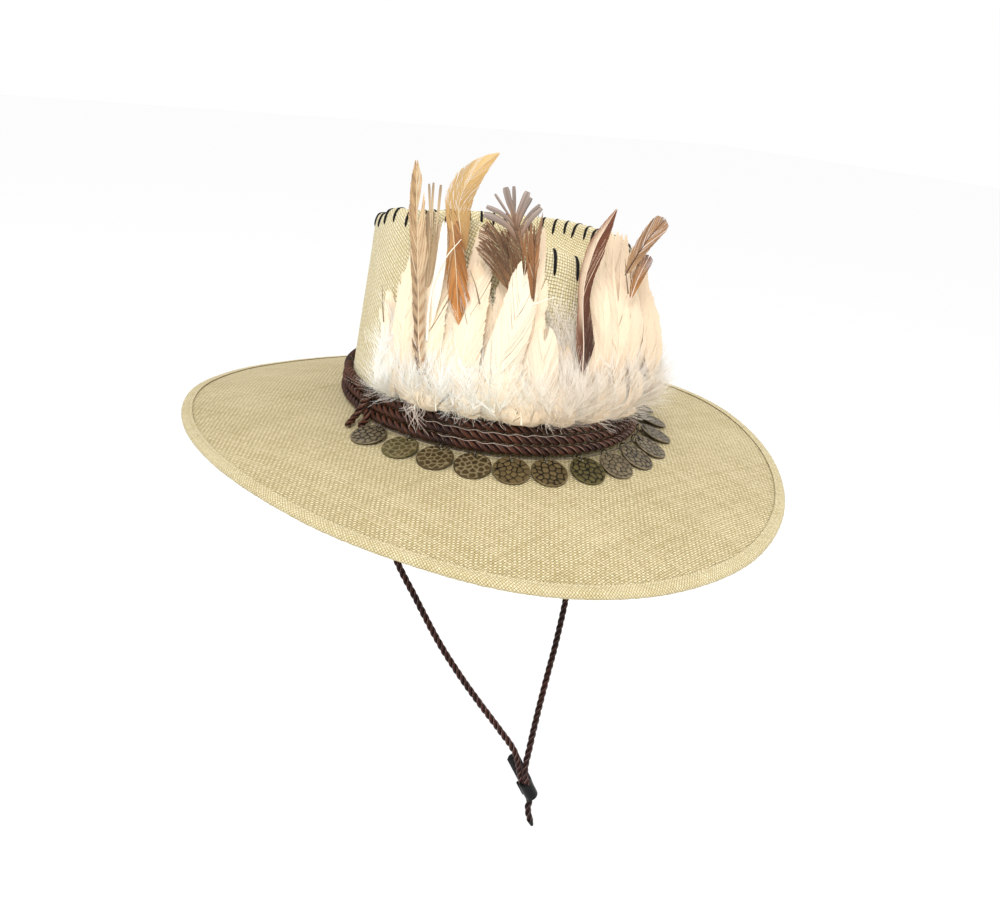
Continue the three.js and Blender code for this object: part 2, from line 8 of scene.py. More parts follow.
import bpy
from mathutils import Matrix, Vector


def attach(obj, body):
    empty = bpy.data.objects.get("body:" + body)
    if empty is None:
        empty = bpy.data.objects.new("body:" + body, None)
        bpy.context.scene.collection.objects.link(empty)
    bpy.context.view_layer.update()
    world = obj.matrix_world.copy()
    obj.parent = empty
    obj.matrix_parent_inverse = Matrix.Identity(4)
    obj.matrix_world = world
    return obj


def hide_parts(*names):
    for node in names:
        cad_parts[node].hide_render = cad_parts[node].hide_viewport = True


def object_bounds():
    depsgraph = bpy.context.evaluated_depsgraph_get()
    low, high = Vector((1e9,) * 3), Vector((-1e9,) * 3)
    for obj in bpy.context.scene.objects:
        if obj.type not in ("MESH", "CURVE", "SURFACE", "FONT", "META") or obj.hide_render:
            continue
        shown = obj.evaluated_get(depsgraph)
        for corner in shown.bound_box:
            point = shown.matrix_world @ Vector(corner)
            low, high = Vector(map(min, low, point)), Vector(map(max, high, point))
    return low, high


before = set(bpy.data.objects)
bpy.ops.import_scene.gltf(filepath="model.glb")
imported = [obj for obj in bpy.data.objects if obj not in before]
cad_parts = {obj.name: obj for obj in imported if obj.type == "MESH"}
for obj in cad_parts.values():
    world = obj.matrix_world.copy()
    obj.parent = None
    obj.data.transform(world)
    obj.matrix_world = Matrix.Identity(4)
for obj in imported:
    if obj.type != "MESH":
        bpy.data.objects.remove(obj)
plain_low, plain_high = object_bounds()
print("plain hat, metres:", [round(high - low, 4) for low, high in zip(plain_low, plain_high)])

# %% Modules
import math

import bpy
import numpy as np
from mathutils import Matrix, Vector

rng = np.random.default_rng(11)

# %% [markdown]
# ## Camera
# A product photograph of a hat is taken from a little above the brim and from one side, so that
# the crown, the band and the strap all show. A camera can be placed by eye, by constraints that
# track a target, or by its own axes. Here the axes are written out: two angles and a roll give
# the directions, and a distance with two small offsets gives the place. No lens shift is needed,
# so the same camera also works from every other side.

# %% Camera
azimuth = math.radians(-35)
elevation = math.radians(20)
roll = math.radians(6)
distance = 0.7
aim_right = 0.0095
aim_up = -0.0365
picture_width = 1000
focal_pixels = 1050
sensor = 36.0

back = np.array([
    math.sin(azimuth) * math.cos(elevation),
    -math.cos(azimuth) * math.cos(elevation),
    math.sin(elevation),
])
level = np.array([math.cos(azimuth), math.sin(azimuth), 0.0])
upright = np.cross(back, level)
camera_right = math.cos(roll) * level + math.sin(roll) * upright
camera_up = math.cos(roll) * upright - math.sin(roll) * level
eye = back * distance + camera_right * aim_right + camera_up * aim_up

camera_data = bpy.data.cameras.new("camera")
camera_data.sensor_width = sensor
camera_data.lens = focal_pixels / picture_width * sensor
camera_data.clip_start = 0.01
camera = bpy.data.objects.new("camera", camera_data)
axes = np.column_stack([camera_right, camera_up, back])
camera.matrix_world = Matrix.Translation(eye) @ Matrix(axes.tolist()).to_4x4()
bpy.context.scene.collection.objects.link(camera)
bpy.context.scene.camera = camera
print("camera at", eye.round(3), "lens", round(camera_data.lens, 1), "mm")

# %% [markdown]
# ## Floor and light
# A pale hat on a white ground needs light that is soft but not flat: the weave and the cords
# only show where the light comes across them. One large key lamp stands at the upper left, a
# weaker one fills the right, and a white world does the rest. The floor is almost as white as
# the world, so that their border can't be seen. It lies well below the end of the chin strap and
# is not attached to the hat.

# %% Floor and light
floor_drop = 0.42
floor_size = 30.0


def plain_material(name, colour, roughness):
    material = bpy.data.materials.new(name)
    material.use_nodes = True
    shader = material.node_tree.nodes["Principled BSDF"]
    shader.inputs["Base Color"].default_value = (*colour, 1)
    shader.inputs["Roughness"].default_value = roughness
    shader.inputs["Specular IOR Level"].default_value = 0.0
    return material


def area_light(name, place, size, power):
    lamp = bpy.data.lights.new(name, "AREA")
    lamp.shape = "DISK"
    lamp.size = size
    lamp.energy = power
    holder = bpy.data.objects.new(name, lamp)
    holder.location = place
    holder.rotation_euler = (-Vector(place)).to_track_quat("-Z", "Y").to_euler()
    bpy.context.scene.collection.objects.link(holder)


bpy.ops.mesh.primitive_plane_add(size=floor_size, location=(0, 0, plain_low[2] - floor_drop))
floor = bpy.context.object
floor.name = "floor"
floor.data.materials.append(plain_material("pale_floor", (0.975, 0.975, 0.975), 1.0))

world = bpy.data.worlds.new("studio")
world.use_nodes = True
world.node_tree.nodes["Background"].inputs["Color"].default_value = (1, 1, 1, 1)
world.node_tree.nodes["Background"].inputs["Strength"].default_value = 1.0
bpy.context.scene.world = world
bpy.context.scene.view_settings.view_transform = "Standard"
area_light("key", (-1.0, -1.1, 1.5), size=0.8, power=24)
area_light("fill", (1.3, -0.9, 0.9), size=1.0, power=6)
print("floor at", round(floor.location.z, 3), "m")

# %% [markdown]
# ## The hat's own sizes
# Every visible surface follows the plain solids, so the few sizes that shape them are named once:
# the head opening, the top of the crown and the edge of the brim are three ovals, and heights
# change as one goes round. A turn is an angle round the crown in degrees, 0 at the front and 90
# at the wearer's left. Four small functions then give any point of the wall, the rim, the dished
# top and the brim, for whole arrays of turns at once.

# %% Sizes of the crown and the brim
head_length = 0.198
head_width = 0.170
cloth = 0.002
clearance = 0.0003
top_length = 0.176
top_width = 0.152
dish_depth = 0.020
dish_inset = 0.015
dish_centre_height = 0.093
rim_heights = {
    -180: 0.113, -145: 0.113, -115: 0.117, -90: 0.126, -60: 0.129, -37: 0.126, -17: 0.117,
    4: 0.111, 32: 0.116, 60: 0.115, 105: 0.116, 145: 0.114, 180: 0.113,
}
brim_length = 0.4128
brim_width = 0.3828
brim_drop = 0.021
front_dip = 0.006
side_curl = 0.010
brim_straightness = 0.8
brim_span = (brim_length - head_length) / 2
print("opening", head_length, "by", head_width, "m, cloth reaches", round(brim_span, 4), "m out from it")


# %% Points of the wall, the rim and the dish
def blend(start, end, share):
    return start + (end - start) * share


def smooth_step(value, low, high):
    part = np.clip((value - low) / (high - low), 0, 1)
    return part * part * (3 - 2 * part)


def rim_height(turn):
    wrapped = (np.asarray(turn, dtype=float) + 180) % 360 - 180
    turns = np.array(list(rim_heights))
    heights = np.array(list(rim_heights.values()))
    row = np.clip(np.searchsorted(turns, wrapped, side="right") - 1, 0, len(turns) - 2)
    return blend(heights[row], heights[row + 1], smooth_step(wrapped, turns[row], turns[row + 1]))


def oval(turn, half_length, half_width, height):
    angle = np.radians(turn)
    x, y, z = np.broadcast_arrays(half_width * np.sin(angle), -half_length * np.cos(angle), height)
    return np.stack([x, y, z], axis=-1)


def wall_point(turn, height, out=0.0):
    rise = height / rim_height(turn)
    half_length = blend(head_length / 2 + cloth, top_length / 2, rise) + out
    half_width = blend(head_width / 2 + cloth, top_width / 2, rise) + out
    return oval(turn, half_length, half_width, height)


def rim_point(turn, inset, drop):
    return oval(turn, top_length / 2 - inset, top_width / 2 - inset, rim_height(turn) - drop)


def dish_point(turn, share, below=0.0):
    corner = rim_height(turn) - dish_depth
    height = blend(dish_centre_height, corner, share**2) - below
    half_length = (top_length / 2 - dish_inset) * share
    half_width = (top_width / 2 - dish_inset) * share
    return oval(turn, half_length, half_width, height)


print("rim from", rim_height(4).round(4), "to", rim_height(-60).round(4), "m above the opening")


# %% Points of the brim and beside the crown
def edge_height(turn):
    angle = np.radians(turn)
    return -brim_drop - front_dip * np.cos(angle) - side_curl * np.cos(2 * angle)


def brim_point(turn, share, below=0.0):
    fall = brim_straightness * share + (1 - brim_straightness) * share**2
    height = blend(-clearance, edge_height(turn), fall) - below
    half_length = blend(head_length / 2, brim_length / 2, share)
    half_width = blend(head_width / 2, brim_width / 2, share)
    return oval(turn, half_length, half_width, height)


def beside_crown(turn, out, height):
    return oval(turn, head_length / 2 + cloth + out, head_width / 2 + cloth + out, height)


def brim_height(turn, out):
    return brim_point(turn, (cloth + out) / brim_span)[..., 2]


def unit(vectors):
    return vectors / np.linalg.norm(vectors, axis=-1, keepdims=True)


def outward(turn):
    ahead = wall_point(turn + 1, 0.0) - wall_point(turn - 1, 0.0)
    return unit(np.cross(ahead, (0, 0, 1)))


print("brim's edge:", edge_height(0).round(4), "m at the front,", edge_height(90).round(4), "m at the side")

# %% [markdown]
# ## Meshes from grids
# Nearly everything on this hat is a grid of points: a shell goes round and down, a cord goes
# along and round, and a barb goes out and across. Blender could loft such grids with curves and
# modifiers. Plain arrays are shorter and give the same mesh each time, so one helper turns points
# and quads into a piece, and one more numbers the quads of a grid, open or joined either way.

# %% Quads of a grid
def grid_quads(rows, columns, join_rows=False, join_columns=False, first=0):
    row = np.arange(rows if join_rows else rows - 1)[:, None]
    column = np.arange(columns if join_columns else columns - 1)[None, :]
    next_row = (row + 1) % rows
    next_column = (column + 1) % columns
    corners = [
        row * columns + column,
        row * columns + next_column,
        next_row * columns + next_column,
        next_row * columns + column,
    ]
    return np.stack(np.broadcast_arrays(*corners), axis=-1).reshape(-1, 4) + first


print("a grid of 3 by 3 points has", len(grid_quads(3, 3)), "quads")


# %% Meshes and pieces
def make_mesh(name, points, quads, threads=None, values=None, smooth=True):
    """Mesh from points and quads. threads is a UV for each corner, values are named point data."""
    mesh = bpy.data.meshes.new(name)
    points = np.asarray(points, dtype=np.float32).reshape(-1, 3)
    quads = np.asarray(quads, dtype=np.int32)
    mesh.vertices.add(len(points))
    mesh.vertices.foreach_set("co", points.ravel())
    mesh.loops.add(quads.size)
    mesh.loops.foreach_set("vertex_index", quads.ravel())
    mesh.polygons.add(len(quads))
    mesh.polygons.foreach_set("loop_start", np.arange(0, quads.size, quads.shape[1], dtype=np.int32))
    mesh.polygons.foreach_set("use_smooth", np.full(len(quads), smooth))
    if threads is not None:
        layer = mesh.uv_layers.new(name="threads")
        layer.data.foreach_set("uv", np.asarray(threads, dtype=np.float32).ravel())
    for label, data in (values or {}).items():
        data = np.asarray(data, dtype=np.float32)
        if data.ndim > 1:
            colours = np.concatenate([data, np.ones((len(data), 1), dtype=np.float32)], axis=1)
            layer = mesh.attributes.new(label, "FLOAT_COLOR", "POINT")
            layer.data.foreach_set("color", colours.ravel())
        else:
            layer = mesh.attributes.new(label, "FLOAT", "POINT")
            layer.data.foreach_set("value", data)
    mesh.update(calc_edges=True)
    mesh.validate()
    return mesh


def add_piece(name, mesh, material, slot, *nodes):
    piece = bpy.data.objects.new(name, mesh)
    bpy.context.scene.collection.objects.link(piece)
    mesh.materials.append(material)
    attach(piece, "root")
    if nodes:
        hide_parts(*nodes)
    print(name, len(mesh.polygons), "faces")
    return piece


# %% [markdown]
# ## Smooth lines through few points
# A cord's route is a short list of points, and a curve runs smoothly through them. Blender's own
# curve objects could carry it. Here the curve is worked out directly, with the spacing of the
# points taken into account so that it never swings wide between a long step and a short one.

# %% Smooth lines
def smooth_line(points, steps):
    """Smooth curve through points, with a number of steps between each point and the next."""
    points = np.asarray(points, dtype=float)
    points = np.concatenate([[2 * points[0] - points[1]], points, [2 * points[-1] - points[-2]]])
    gaps = np.linalg.norm(np.diff(points, axis=0), axis=-1).reshape(len(points) - 1, -1)
    knots = np.concatenate([[0], np.cumsum(np.sqrt(gaps.mean(axis=1) + 1e-9))])
    rows = []
    for i in range(1, len(points) - 2):
        at = np.linspace(knots[i], knots[i + 1], steps + 1)[:-1]
        at = at.reshape(-1, *[1] * (points.ndim - 1))

        def mix(start, end, low, high):
            return blend(start, end, (at - knots[low]) / (knots[high] - knots[low]))

        before, within, after = (mix(points[k], points[k + 1], k, k + 1) for k in (i - 1, i, i + 1))
        rows.append(mix(mix(before, within, i - 1, i + 1), mix(within, after, i, i + 2), i, i + 1))
    rows.append(points[-2][None])
    return np.concatenate(rows)


def distances(points):
    """Distance along a line at each of its points, 0 at the first."""
    return np.concatenate([[0], np.cumsum(np.linalg.norm(np.diff(points, axis=0), axis=1))])


def evenly(points, count):
    """The same line with its points at even distances."""
    along = distances(points)
    wanted = np.linspace(0, along[-1], count)
    return np.stack([np.interp(wanted, along, points[:, k]) for k in range(3)], axis=1)


def line_length(points):
    return float(np.linalg.norm(np.diff(points, axis=0), axis=1).sum())


foot_line = wall_point(np.linspace(0, 360, 361), 0.0)
print("round the crown's foot:", round(line_length(foot_line), 4), "m")


# %% Directions along a line
def frames_along(points, closed=False, first=None):
    """Directions along, out and across at each point, turning as little as they can."""
    if closed:
        along = unit(np.roll(points, -1, axis=0) - np.roll(points, 1, axis=0))
    else:
        along = unit(np.gradient(points, axis=0))
    out = np.zeros_like(points)
    start = np.array(first if first is not None else (0.0, -1.0, 0.2), dtype=float)
    out[0] = unit(start - along[0] * (start @ along[0]))
    for i in range(1, len(points)):
        carried = out[i - 1] - along[i] * (out[i - 1] @ along[i])
        out[i] = unit(carried)
    return along, out, np.cross(along, out)


foot_ways = frames_along(foot_line[:-1], closed=True)
print("along, out and across at the front:", *(way[0].round(2) for way in foot_ways))

# %% [markdown]
# ## Twisted cord
# The band, its knot and the chin strap are one kind of cord: three strands of satin yarn, laid
# round each other so that the lines between them climb like the middle of a Z. A plain tube with
# a bump texture would keep a smooth outline, but here the outline is scalloped, and that is
# what makes a cord look twisted. So each strand is a tube of its own that winds round the
# route. Its corners also carry how far round and how far along they lie, and the yarns in its
# finish are drawn from that.

# %% Cord from three strands
strands = 3
strand_share = 0.48
thinnest_end = 0.02


def strand_tubes(route, radius, lay, sides, closed=False, first=None, ends=0.0):
    """Points, quads and thread positions of three strands wound round a route."""
    along, out, across = frames_along(route, closed, first)
    travelled = distances(route)
    if closed:
        whole = travelled[-1] + np.linalg.norm(route[0] - route[-1])
        lay = whole / round(whole / lay)
    strand_radius = radius * strand_share
    shift = radius - strand_radius
    taper = np.ones(len(route))
    if ends:
        near_end = np.minimum(travelled, travelled[-1] - travelled)
        taper = np.sqrt(np.clip(near_end / ends, thinnest_end, 1))
    points, quads, threads = [], [], []
    round_angles = np.arange(sides)[:, None] / sides * 2 * math.pi
    for strand in range(strands):
        wind = 2 * math.pi * (travelled / lay + strand / strands)
        radial = out * np.cos(wind)[:, None] + across * np.sin(wind)[:, None]
        centre = route + radial * (shift * taper)[:, None]
        if closed:
            forward = unit(np.roll(centre, -1, axis=0) - np.roll(centre, 1, axis=0))
        else:
            forward = unit(np.gradient(centre, axis=0))
        radial = unit(radial - forward * np.sum(radial * forward, axis=1, keepdims=True))
        side = np.cross(forward, radial)
        ring = radial[:, None] * np.cos(round_angles) + side[:, None] * np.sin(round_angles)
        size = (strand_radius * taper)[:, None, None]
        first_point = sum(len(block) for block in points)
        points.append((centre[:, None] + ring * size).reshape(-1, 3))
        made = grid_quads(len(route), sides, join_rows=closed, join_columns=True)
        quads.append(made + first_point)
        row = np.repeat(np.arange(len(route) if closed else len(route) - 1), sides)
        column = np.tile(np.arange(sides), len(row) // sides)
        around = np.stack([column, column + 1, column + 1, column], axis=1) / sides
        at = travelled / lay + strand / strands
        at = np.append(at, at[-1] + (at[1] - at[0]))
        length = np.stack([at[row], at[row], at[row + 1], at[row + 1]], axis=1)
        threads.append(np.stack([around, length], axis=-1).reshape(-1, 2))
    return np.concatenate(points), np.concatenate(quads), np.concatenate(threads)


def cord_mesh(name, route, radius, lay, sides=10, closed=False, first=None, ends=0.0):
    points, quads, threads = strand_tubes(route, radius, lay, sides, closed, first, ends)
    return make_mesh(name, points, quads, threads)


print("a cord has", strands, "strands, each", strand_share, "of its radius")

# %% [markdown]
# ## Finishes from nodes
# A finish here is a small chain of nodes: positions on the surface go in, and colour, roughness
# and height come out. Small helpers keep such a chain readable: one adds a node with its inputs,
# one a sum, one a noise over the surface. What is the same all over a surface, such as the sheen
# of satin, is set on the shader itself.

# %% Node helpers
def node(tree, kind, settings=None, **inputs):
    made = tree.nodes.new(kind)
    for key, value in (settings or {}).items():
        setattr(made, key, value)
    for key, value in inputs.items():
        socket = made.inputs[int(key[1:]) if key[1:].isdigit() else key.replace("_", " ")]
        if isinstance(value, bpy.types.NodeSocket):
            tree.links.new(value, socket)
        else:
            socket.default_value = value
    return made


def maths(tree, operation, *values, clamp=False):
    inputs = {f"i{i}": value for i, value in enumerate(values)}
    made = node(tree, "ShaderNodeMath", {"operation": operation, "use_clamp": clamp}, **inputs)
    return made.outputs[0]


def vector_maths(tree, operation, *values):
    inputs = {f"i{i}": value for i, value in enumerate(values)}
    return node(tree, "ShaderNodeVectorMath", {"operation": operation}, **inputs).outputs[0]


def mix_colour(tree, share, low, high):
    made = node(tree, "ShaderNodeMix", {"data_type": "RGBA"}, i0=share)
    for socket, colour in ((made.inputs[6], low), (made.inputs[7], high)):
        if isinstance(colour, bpy.types.NodeSocket):
            tree.links.new(colour, socket)
        else:
            socket.default_value = (*colour, 1)
    return made.outputs[2]


# %% Finishes, noise and height
def new_finish(name, roughness, **constants):
    """Material, its tree and its shader, with the numbers that are the same all over it."""
    material = bpy.data.materials.new(name)
    material.use_nodes = True
    shader = material.node_tree.nodes["Principled BSDF"]
    shader.inputs["Roughness"].default_value = roughness
    for key, value in constants.items():
        shader.inputs[key.replace("_", " ")].default_value = value
    return material, material.node_tree, shader


def plain_finish(name, roughness, **constants):
    return new_finish(name, roughness, **constants)[0]


def thread_position(tree):
    return node(tree, "ShaderNodeUVMap", {"uv_map": "threads"}).outputs["UV"]


def surface_noise(tree, scale, detail):
    """Noise over the surface, a number and a colour at each place."""
    where = node(tree, "ShaderNodeTexCoord").outputs["Object"]
    made = node(tree, "ShaderNodeTexNoise", Vector=where, Scale=scale, Detail=detail)
    return made.outputs["Fac"], made.outputs["Color"]


def raise_surface(tree, shader, height, distance, strength=1.0):
    bump = node(tree, "ShaderNodeBump", Strength=strength, Distance=distance, Height=height)
    tree.links.new(bump.outputs["Normal"], shader.inputs["Normal"])


# %% [markdown]
# ## Satin yarn
# The cord's yarn is satin, almost black in the shade and red-brown in the light, and part of that
# light and shade is painted into its colour. On the inner side of each strand, where the strands
# meet, the colour goes to the dark colour as painted shade in the grooves, and one thin pale line
# along the shoulder of each strand is a painted highlight. The map's first coordinate is the place
# round the strand, so the highlight is a narrow peak at one value of it, broken up by a noise.
# Finer waves in the same coordinate are the yarn's own ply, and they lift the surface too. A slow
# noise makes some stretches redder than others. The yarn mirrors little, or a white room would
# turn it grey.

# %% Satin yarn finish
plies = 7
ply_depth = 0.00012
highlight_place = 0.13
highlight_width = 0.045
slow_scale, quick_scale = 45.0, 700.0


def satin_yarn(name, dark_and_groove_shade, warm, painted_highlight, shine):
    material, tree, shader = new_finish(name, 0.38, Specular_IOR_Level=shine)
    place = node(tree, "ShaderNodeSeparateXYZ", Vector=thread_position(tree)).outputs["X"]
    ply = maths(tree, "COSINE", maths(tree, "MULTIPLY", place, 2 * math.pi * plies))
    # Painted shade: crest is 1 on the outer side of each strand and 0 on its inner side, where the strands
    # meet, so the grooves take the dark colour.
    crest = maths(tree, "COSINE", maths(tree, "MULTIPLY", place, 2 * math.pi))
    crest = maths(tree, "MULTIPLY_ADD", crest, 1.1, -0.1, clamp=True)
    # A narrow pale line on the shoulder of each strand: a painted highlight.
    beside = maths(tree, "ABSOLUTE", maths(tree, "SUBTRACT", place, highlight_place))
    highlight_line = maths(tree, "SUBTRACT", 1.0, maths(tree, "DIVIDE", beside, highlight_width), clamp=True)
    slow, quick = (surface_noise(tree, scale, 2.0)[0] for scale in (slow_scale, quick_scale))
    redness = maths(tree, "MULTIPLY_ADD", slow, 3.2, -1.1, clamp=True)
    redness = maths(tree, "MULTIPLY", redness, maths(tree, "MULTIPLY_ADD", ply, 0.25, 0.75))
    redness = maths(tree, "MULTIPLY", redness, crest)
    body = mix_colour(tree, redness, dark_and_groove_shade, warm)
    # line is the painted highlight, broken up by a fine noise.
    line = maths(tree, "MULTIPLY", highlight_line, maths(tree, "MULTIPLY_ADD", quick, 2.4, -0.5, clamp=True))
    tree.links.new(mix_colour(tree, line, body, painted_highlight), shader.inputs["Base Color"])
    raise_surface(tree, shader, maths(tree, "MULTIPLY_ADD", highlight_line, 0.8, ply), ply_depth)
    return material


# For each yarn: its dark colour, which is also the painted shade in the grooves; its red-brown; and its
# painted highlight.
band_dark_and_groove_shade, band_warm, band_painted_highlight = (0.018, 0.0065, 0.005), (0.150, 0.048, 0.022), (0.46, 0.29, 0.21)
strap_dark_and_groove_shade, strap_warm, strap_painted_highlight = (0.013, 0.0045, 0.004), (0.080, 0.021, 0.012), (0.36, 0.23, 0.20)
band_yarn = satin_yarn("band_yarn", band_dark_and_groove_shade, band_warm, band_painted_highlight, shine=0.22)
strap_yarn = satin_yarn("strap_yarn", strap_dark_and_groove_shade, strap_warm, strap_painted_highlight, shine=0.16)
print("yarn finishes:", band_yarn.name, strap_yarn.name)

# %% [markdown]
# ## Chin strap
# The strap is one loop of thin cord. Each side comes out of the hollow of the crown, where it is
# sewn to the wall, hangs to the lock under the chin, and goes through its hole. One of the two
# goes on below the lock as the free end, whose tip is sealed black. A simulation would let the
# loop hang straight down, but the worn strap is drawn forward under a chin, so its route is a
# list of given points, the same as the plain solids follow. The lock's face is turned a
# little to the wearer's right, and the cords end at places given in the lock's own directions.

# %% Directions of the lock
lock_top = np.array([-0.0073, -0.085, -0.2252])
lock_foot = np.array([0.0068, -0.0944, -0.2548])
lock_facing = (-0.55, -0.8, 0.25)
lock_length = float(np.linalg.norm(lock_top - lock_foot))
lock_axis = unit(lock_top - lock_foot)
lock_sideways = unit(np.cross(lock_axis, lock_facing))
lock_forward = np.cross(lock_sideways, lock_axis)
lock_head_share = 0.41
lock_head_length = lock_length * lock_head_share


def lock_point(along, sideways, forward):
    return lock_foot + lock_axis * along + lock_sideways * sideways + lock_forward * forward


print("the lock's head is", round(lock_head_length, 4), "m long, the whole", round(lock_length, 4), "m")

# %% Routes of the two cords and the free end
strap_radius = 0.0023
strap_lay = 0.0145
left_strap = [
    (0.0807, 0.005, 0.015),
    (0.0814, 0.005, 0.008),
    (0.0821, 0.004, 0.0),
    (0.0818, 0.001, -0.009),
    (0.0802, -0.004, -0.022),
    (0.0748, -0.014, -0.048),
    (0.0668, -0.027, -0.082),
    (0.0563, -0.043, -0.123),
    (0.04, -0.0575, -0.161),
    (0.029, -0.066, -0.181),
    (0.0153, -0.0776, -0.2015),
    (0.0036, -0.0884, -0.2175),
    (-0.0015, -0.0928, -0.2308),
    lock_point(lock_head_length + 0.0016, 0.0018, 0.0034),
]
right_strap = [
    (-0.0807, 0.005, 0.015),
    (-0.0814, 0.005, 0.008),
    (-0.0821, 0.004, 0.0),
    (-0.0819, 0.0015, -0.01),
    (-0.081, -0.0015, -0.028),
    (-0.0776, -0.0092, -0.057),
    (-0.0716, -0.019, -0.092),
    (-0.0612, -0.0326, -0.119),
    (-0.0496, -0.048, -0.147),
    (-0.038, -0.0608, -0.169),
    (-0.027, -0.0708, -0.187),
    (-0.017, -0.0792, -0.2025),
    (-0.0072, -0.0866, -0.219),
    lock_point(lock_head_length + 0.0015, -0.0016, -0.0004),
]
free_end = [
    lock_point(-0.0014, -0.003, 0.0),
    (0.0034, -0.095, -0.2616),
    (0.0033, -0.0972, -0.267),
    (0.0055, -0.0998, -0.2747),
]
inside_lock = lock_point(lock_head_length * 0.5, -0.0021, -0.0002)
left_end = lock_point(lock_head_length - 0.006, 0.0016, 0.0026)
print("routes of", len(left_strap), "and", len(right_strap), "points, free end of", len(free_end))

# %% Chin cords
strap_step = 0.0009
strap_sides = 12
sealed_length = 0.0056
drawn_together = sealed_length * 1.15


def chin_cord(name, points, *nodes):
    line = smooth_line(points, 24)
    route = evenly(line, int(line_length(line) / strap_step))
    mesh = cord_mesh(name, route, strap_radius, strap_lay, strap_sides, ends=drawn_together)
    piece = add_piece(name, mesh, strap_yarn, "chin_cord", *nodes)
    print(name, "length", round(line_length(route), 4), "m")
    return piece, route


left_cord, left_route = chin_cord("strap_left", [*left_strap, left_end], "chin_cord_left")
right_cord, right_route = chin_cord(
    "strap_right", [*right_strap, inside_lock, *free_end], "chin_cord_right", "chin_cord_tail"
)

# %% [markdown]
# ## Cord lock
# The lock is moulded plastic: an oval head with a hole that both cords run through, and a flat
# plunger with a round end that stands behind them. Boxes and cylinders joined by a boolean would
# do, but a turned profile scaled to an oval needs no boolean and keeps its edges round. The head,
# the plunger and the small lug at the head's foot are three such turned bodies in one mesh.

# %% Turned bodies along the lock's axis
black_plastic, plastic_tree, plastic_shader = new_finish(
    "black_plastic", 0.42, Base_Color=(0.006, 0.0065, 0.006, 1), Specular_IOR_Level=0.14
)
moulded_grain = surface_noise(plastic_tree, 700.0, 3.0)[0]
raise_surface(plastic_tree, plastic_shader, moulded_grain, distance=0.00008, strength=0.5)
turned_sides = 40
smallest_share = 0.001
print("finish of the lock and the tip:", black_plastic.name)


def turned(profile, width, depth, base):
    """Oval body from a profile of (share of the half width, distance along the lock's axis)."""
    profile = smooth_line([(share, along, 0) for share, along in profile], 4)[:, :2]
    angles = np.arange(turned_sides)[:, None] / turned_sides * 2 * math.pi
    ring = lock_sideways * np.cos(angles) * width / 2 + lock_forward * np.sin(angles) * depth / 2
    share = np.maximum(profile[:, 0], smallest_share)
    points = base + ring[None] * share[:, None, None] + lock_axis * profile[:, 1][:, None, None]
    return points.reshape(-1, 3), grid_quads(len(profile), turned_sides, join_columns=True)


def join_parts(parts):
    """One set of points and quads from several."""
    points, quads, count = [], [], 0
    for part_points, part_quads in parts:
        points.append(part_points)
        quads.append(part_quads + count)
        count += len(part_points)
    return np.concatenate(points), np.concatenate(quads)


# %% Head, plunger and lug
lock_head_width = 0.0092
lock_head_depth = 0.012
plunger_width = 0.0088
plunger_depth = 0.0044
plunger_behind = 0.0052
lug_width = 0.0022
lug_depth = 0.003
top = lock_head_length
reach = lock_length - lock_head_length
lock_head = turned(
    [(0, 0), (0.45, 0.0001), (0.72, 0.0007), (0.9, 0.0019), (1, 0.0042), (1, 0.0065), (0.99, 0.009),
     (0.97, top - 0.001), (0.93, top - 0.0003), (0.86, top), (0.4, top), (0, top)],
    lock_head_width, lock_head_depth, lock_foot,
)
lock_plunger = turned(
    [(0, -0.002), (1, -0.002), (1, 0), (1, 0.004), (1, reach - 0.0044), (0.97, reach - 0.0032),
     (0.87, reach - 0.0021), (0.7, reach - 0.0011), (0.42, reach - 0.0003), (0, reach)],
    plunger_width, plunger_depth, lock_point(lock_head_length, 0, -plunger_behind),
)
lock_lug = turned(
    [(0, 0), (0.7, 0.0002), (1, 0.001), (1, 0.0035), (0.7, 0.0048), (0, 0.005)],
    lug_width, lug_depth, lock_point(0.0062, -0.0049, -0.003),
)
lock_mesh = make_mesh("strap_lock", *join_parts([lock_head, lock_plunger, lock_lug]))
cord_lock = add_piece("strap_lock", lock_mesh, black_plastic, "black_plastic", "cord_lock")

# %% [markdown]
# Each cord is built from its route: where it leaves the crown, how long it is and what its far
# end is, and both share one thickness. The free end's tip is sealed into a short black point, and
# the strands draw together inside it.

# %% Sealed tip of the free end
tip_route = evenly(smooth_line(free_end, 12), 60)
tip_route = tip_route[np.linalg.norm(tip_route - tip_route[-1], axis=1) < sealed_length]
tip_frames = frames_along(tip_route)
tip_sides = 12
tip_narrowing = 0.62
tip_rounding = 0.12
tip_angles = np.arange(tip_sides)[:, None] / tip_sides * 2 * math.pi
tip_part = np.linspace(0, 1, len(tip_route))
tip_size = strap_radius * (1.0 - tip_narrowing * tip_part)
tip_size *= np.sqrt(np.clip((1 - tip_part) / tip_rounding, 0.03, 1))
tip_ring = tip_frames[1][:, None] * np.cos(tip_angles) + tip_frames[2][:, None] * np.sin(tip_angles)
tip_points = (tip_route[:, None] + tip_ring * tip_size[:, None, None]).reshape(-1, 3)
tip_mesh = make_mesh("strap_tip", tip_points, grid_quads(len(tip_route), tip_sides, join_columns=True))
strap_tip = add_piece("strap_tip", tip_mesh, black_plastic, "chin_cord")

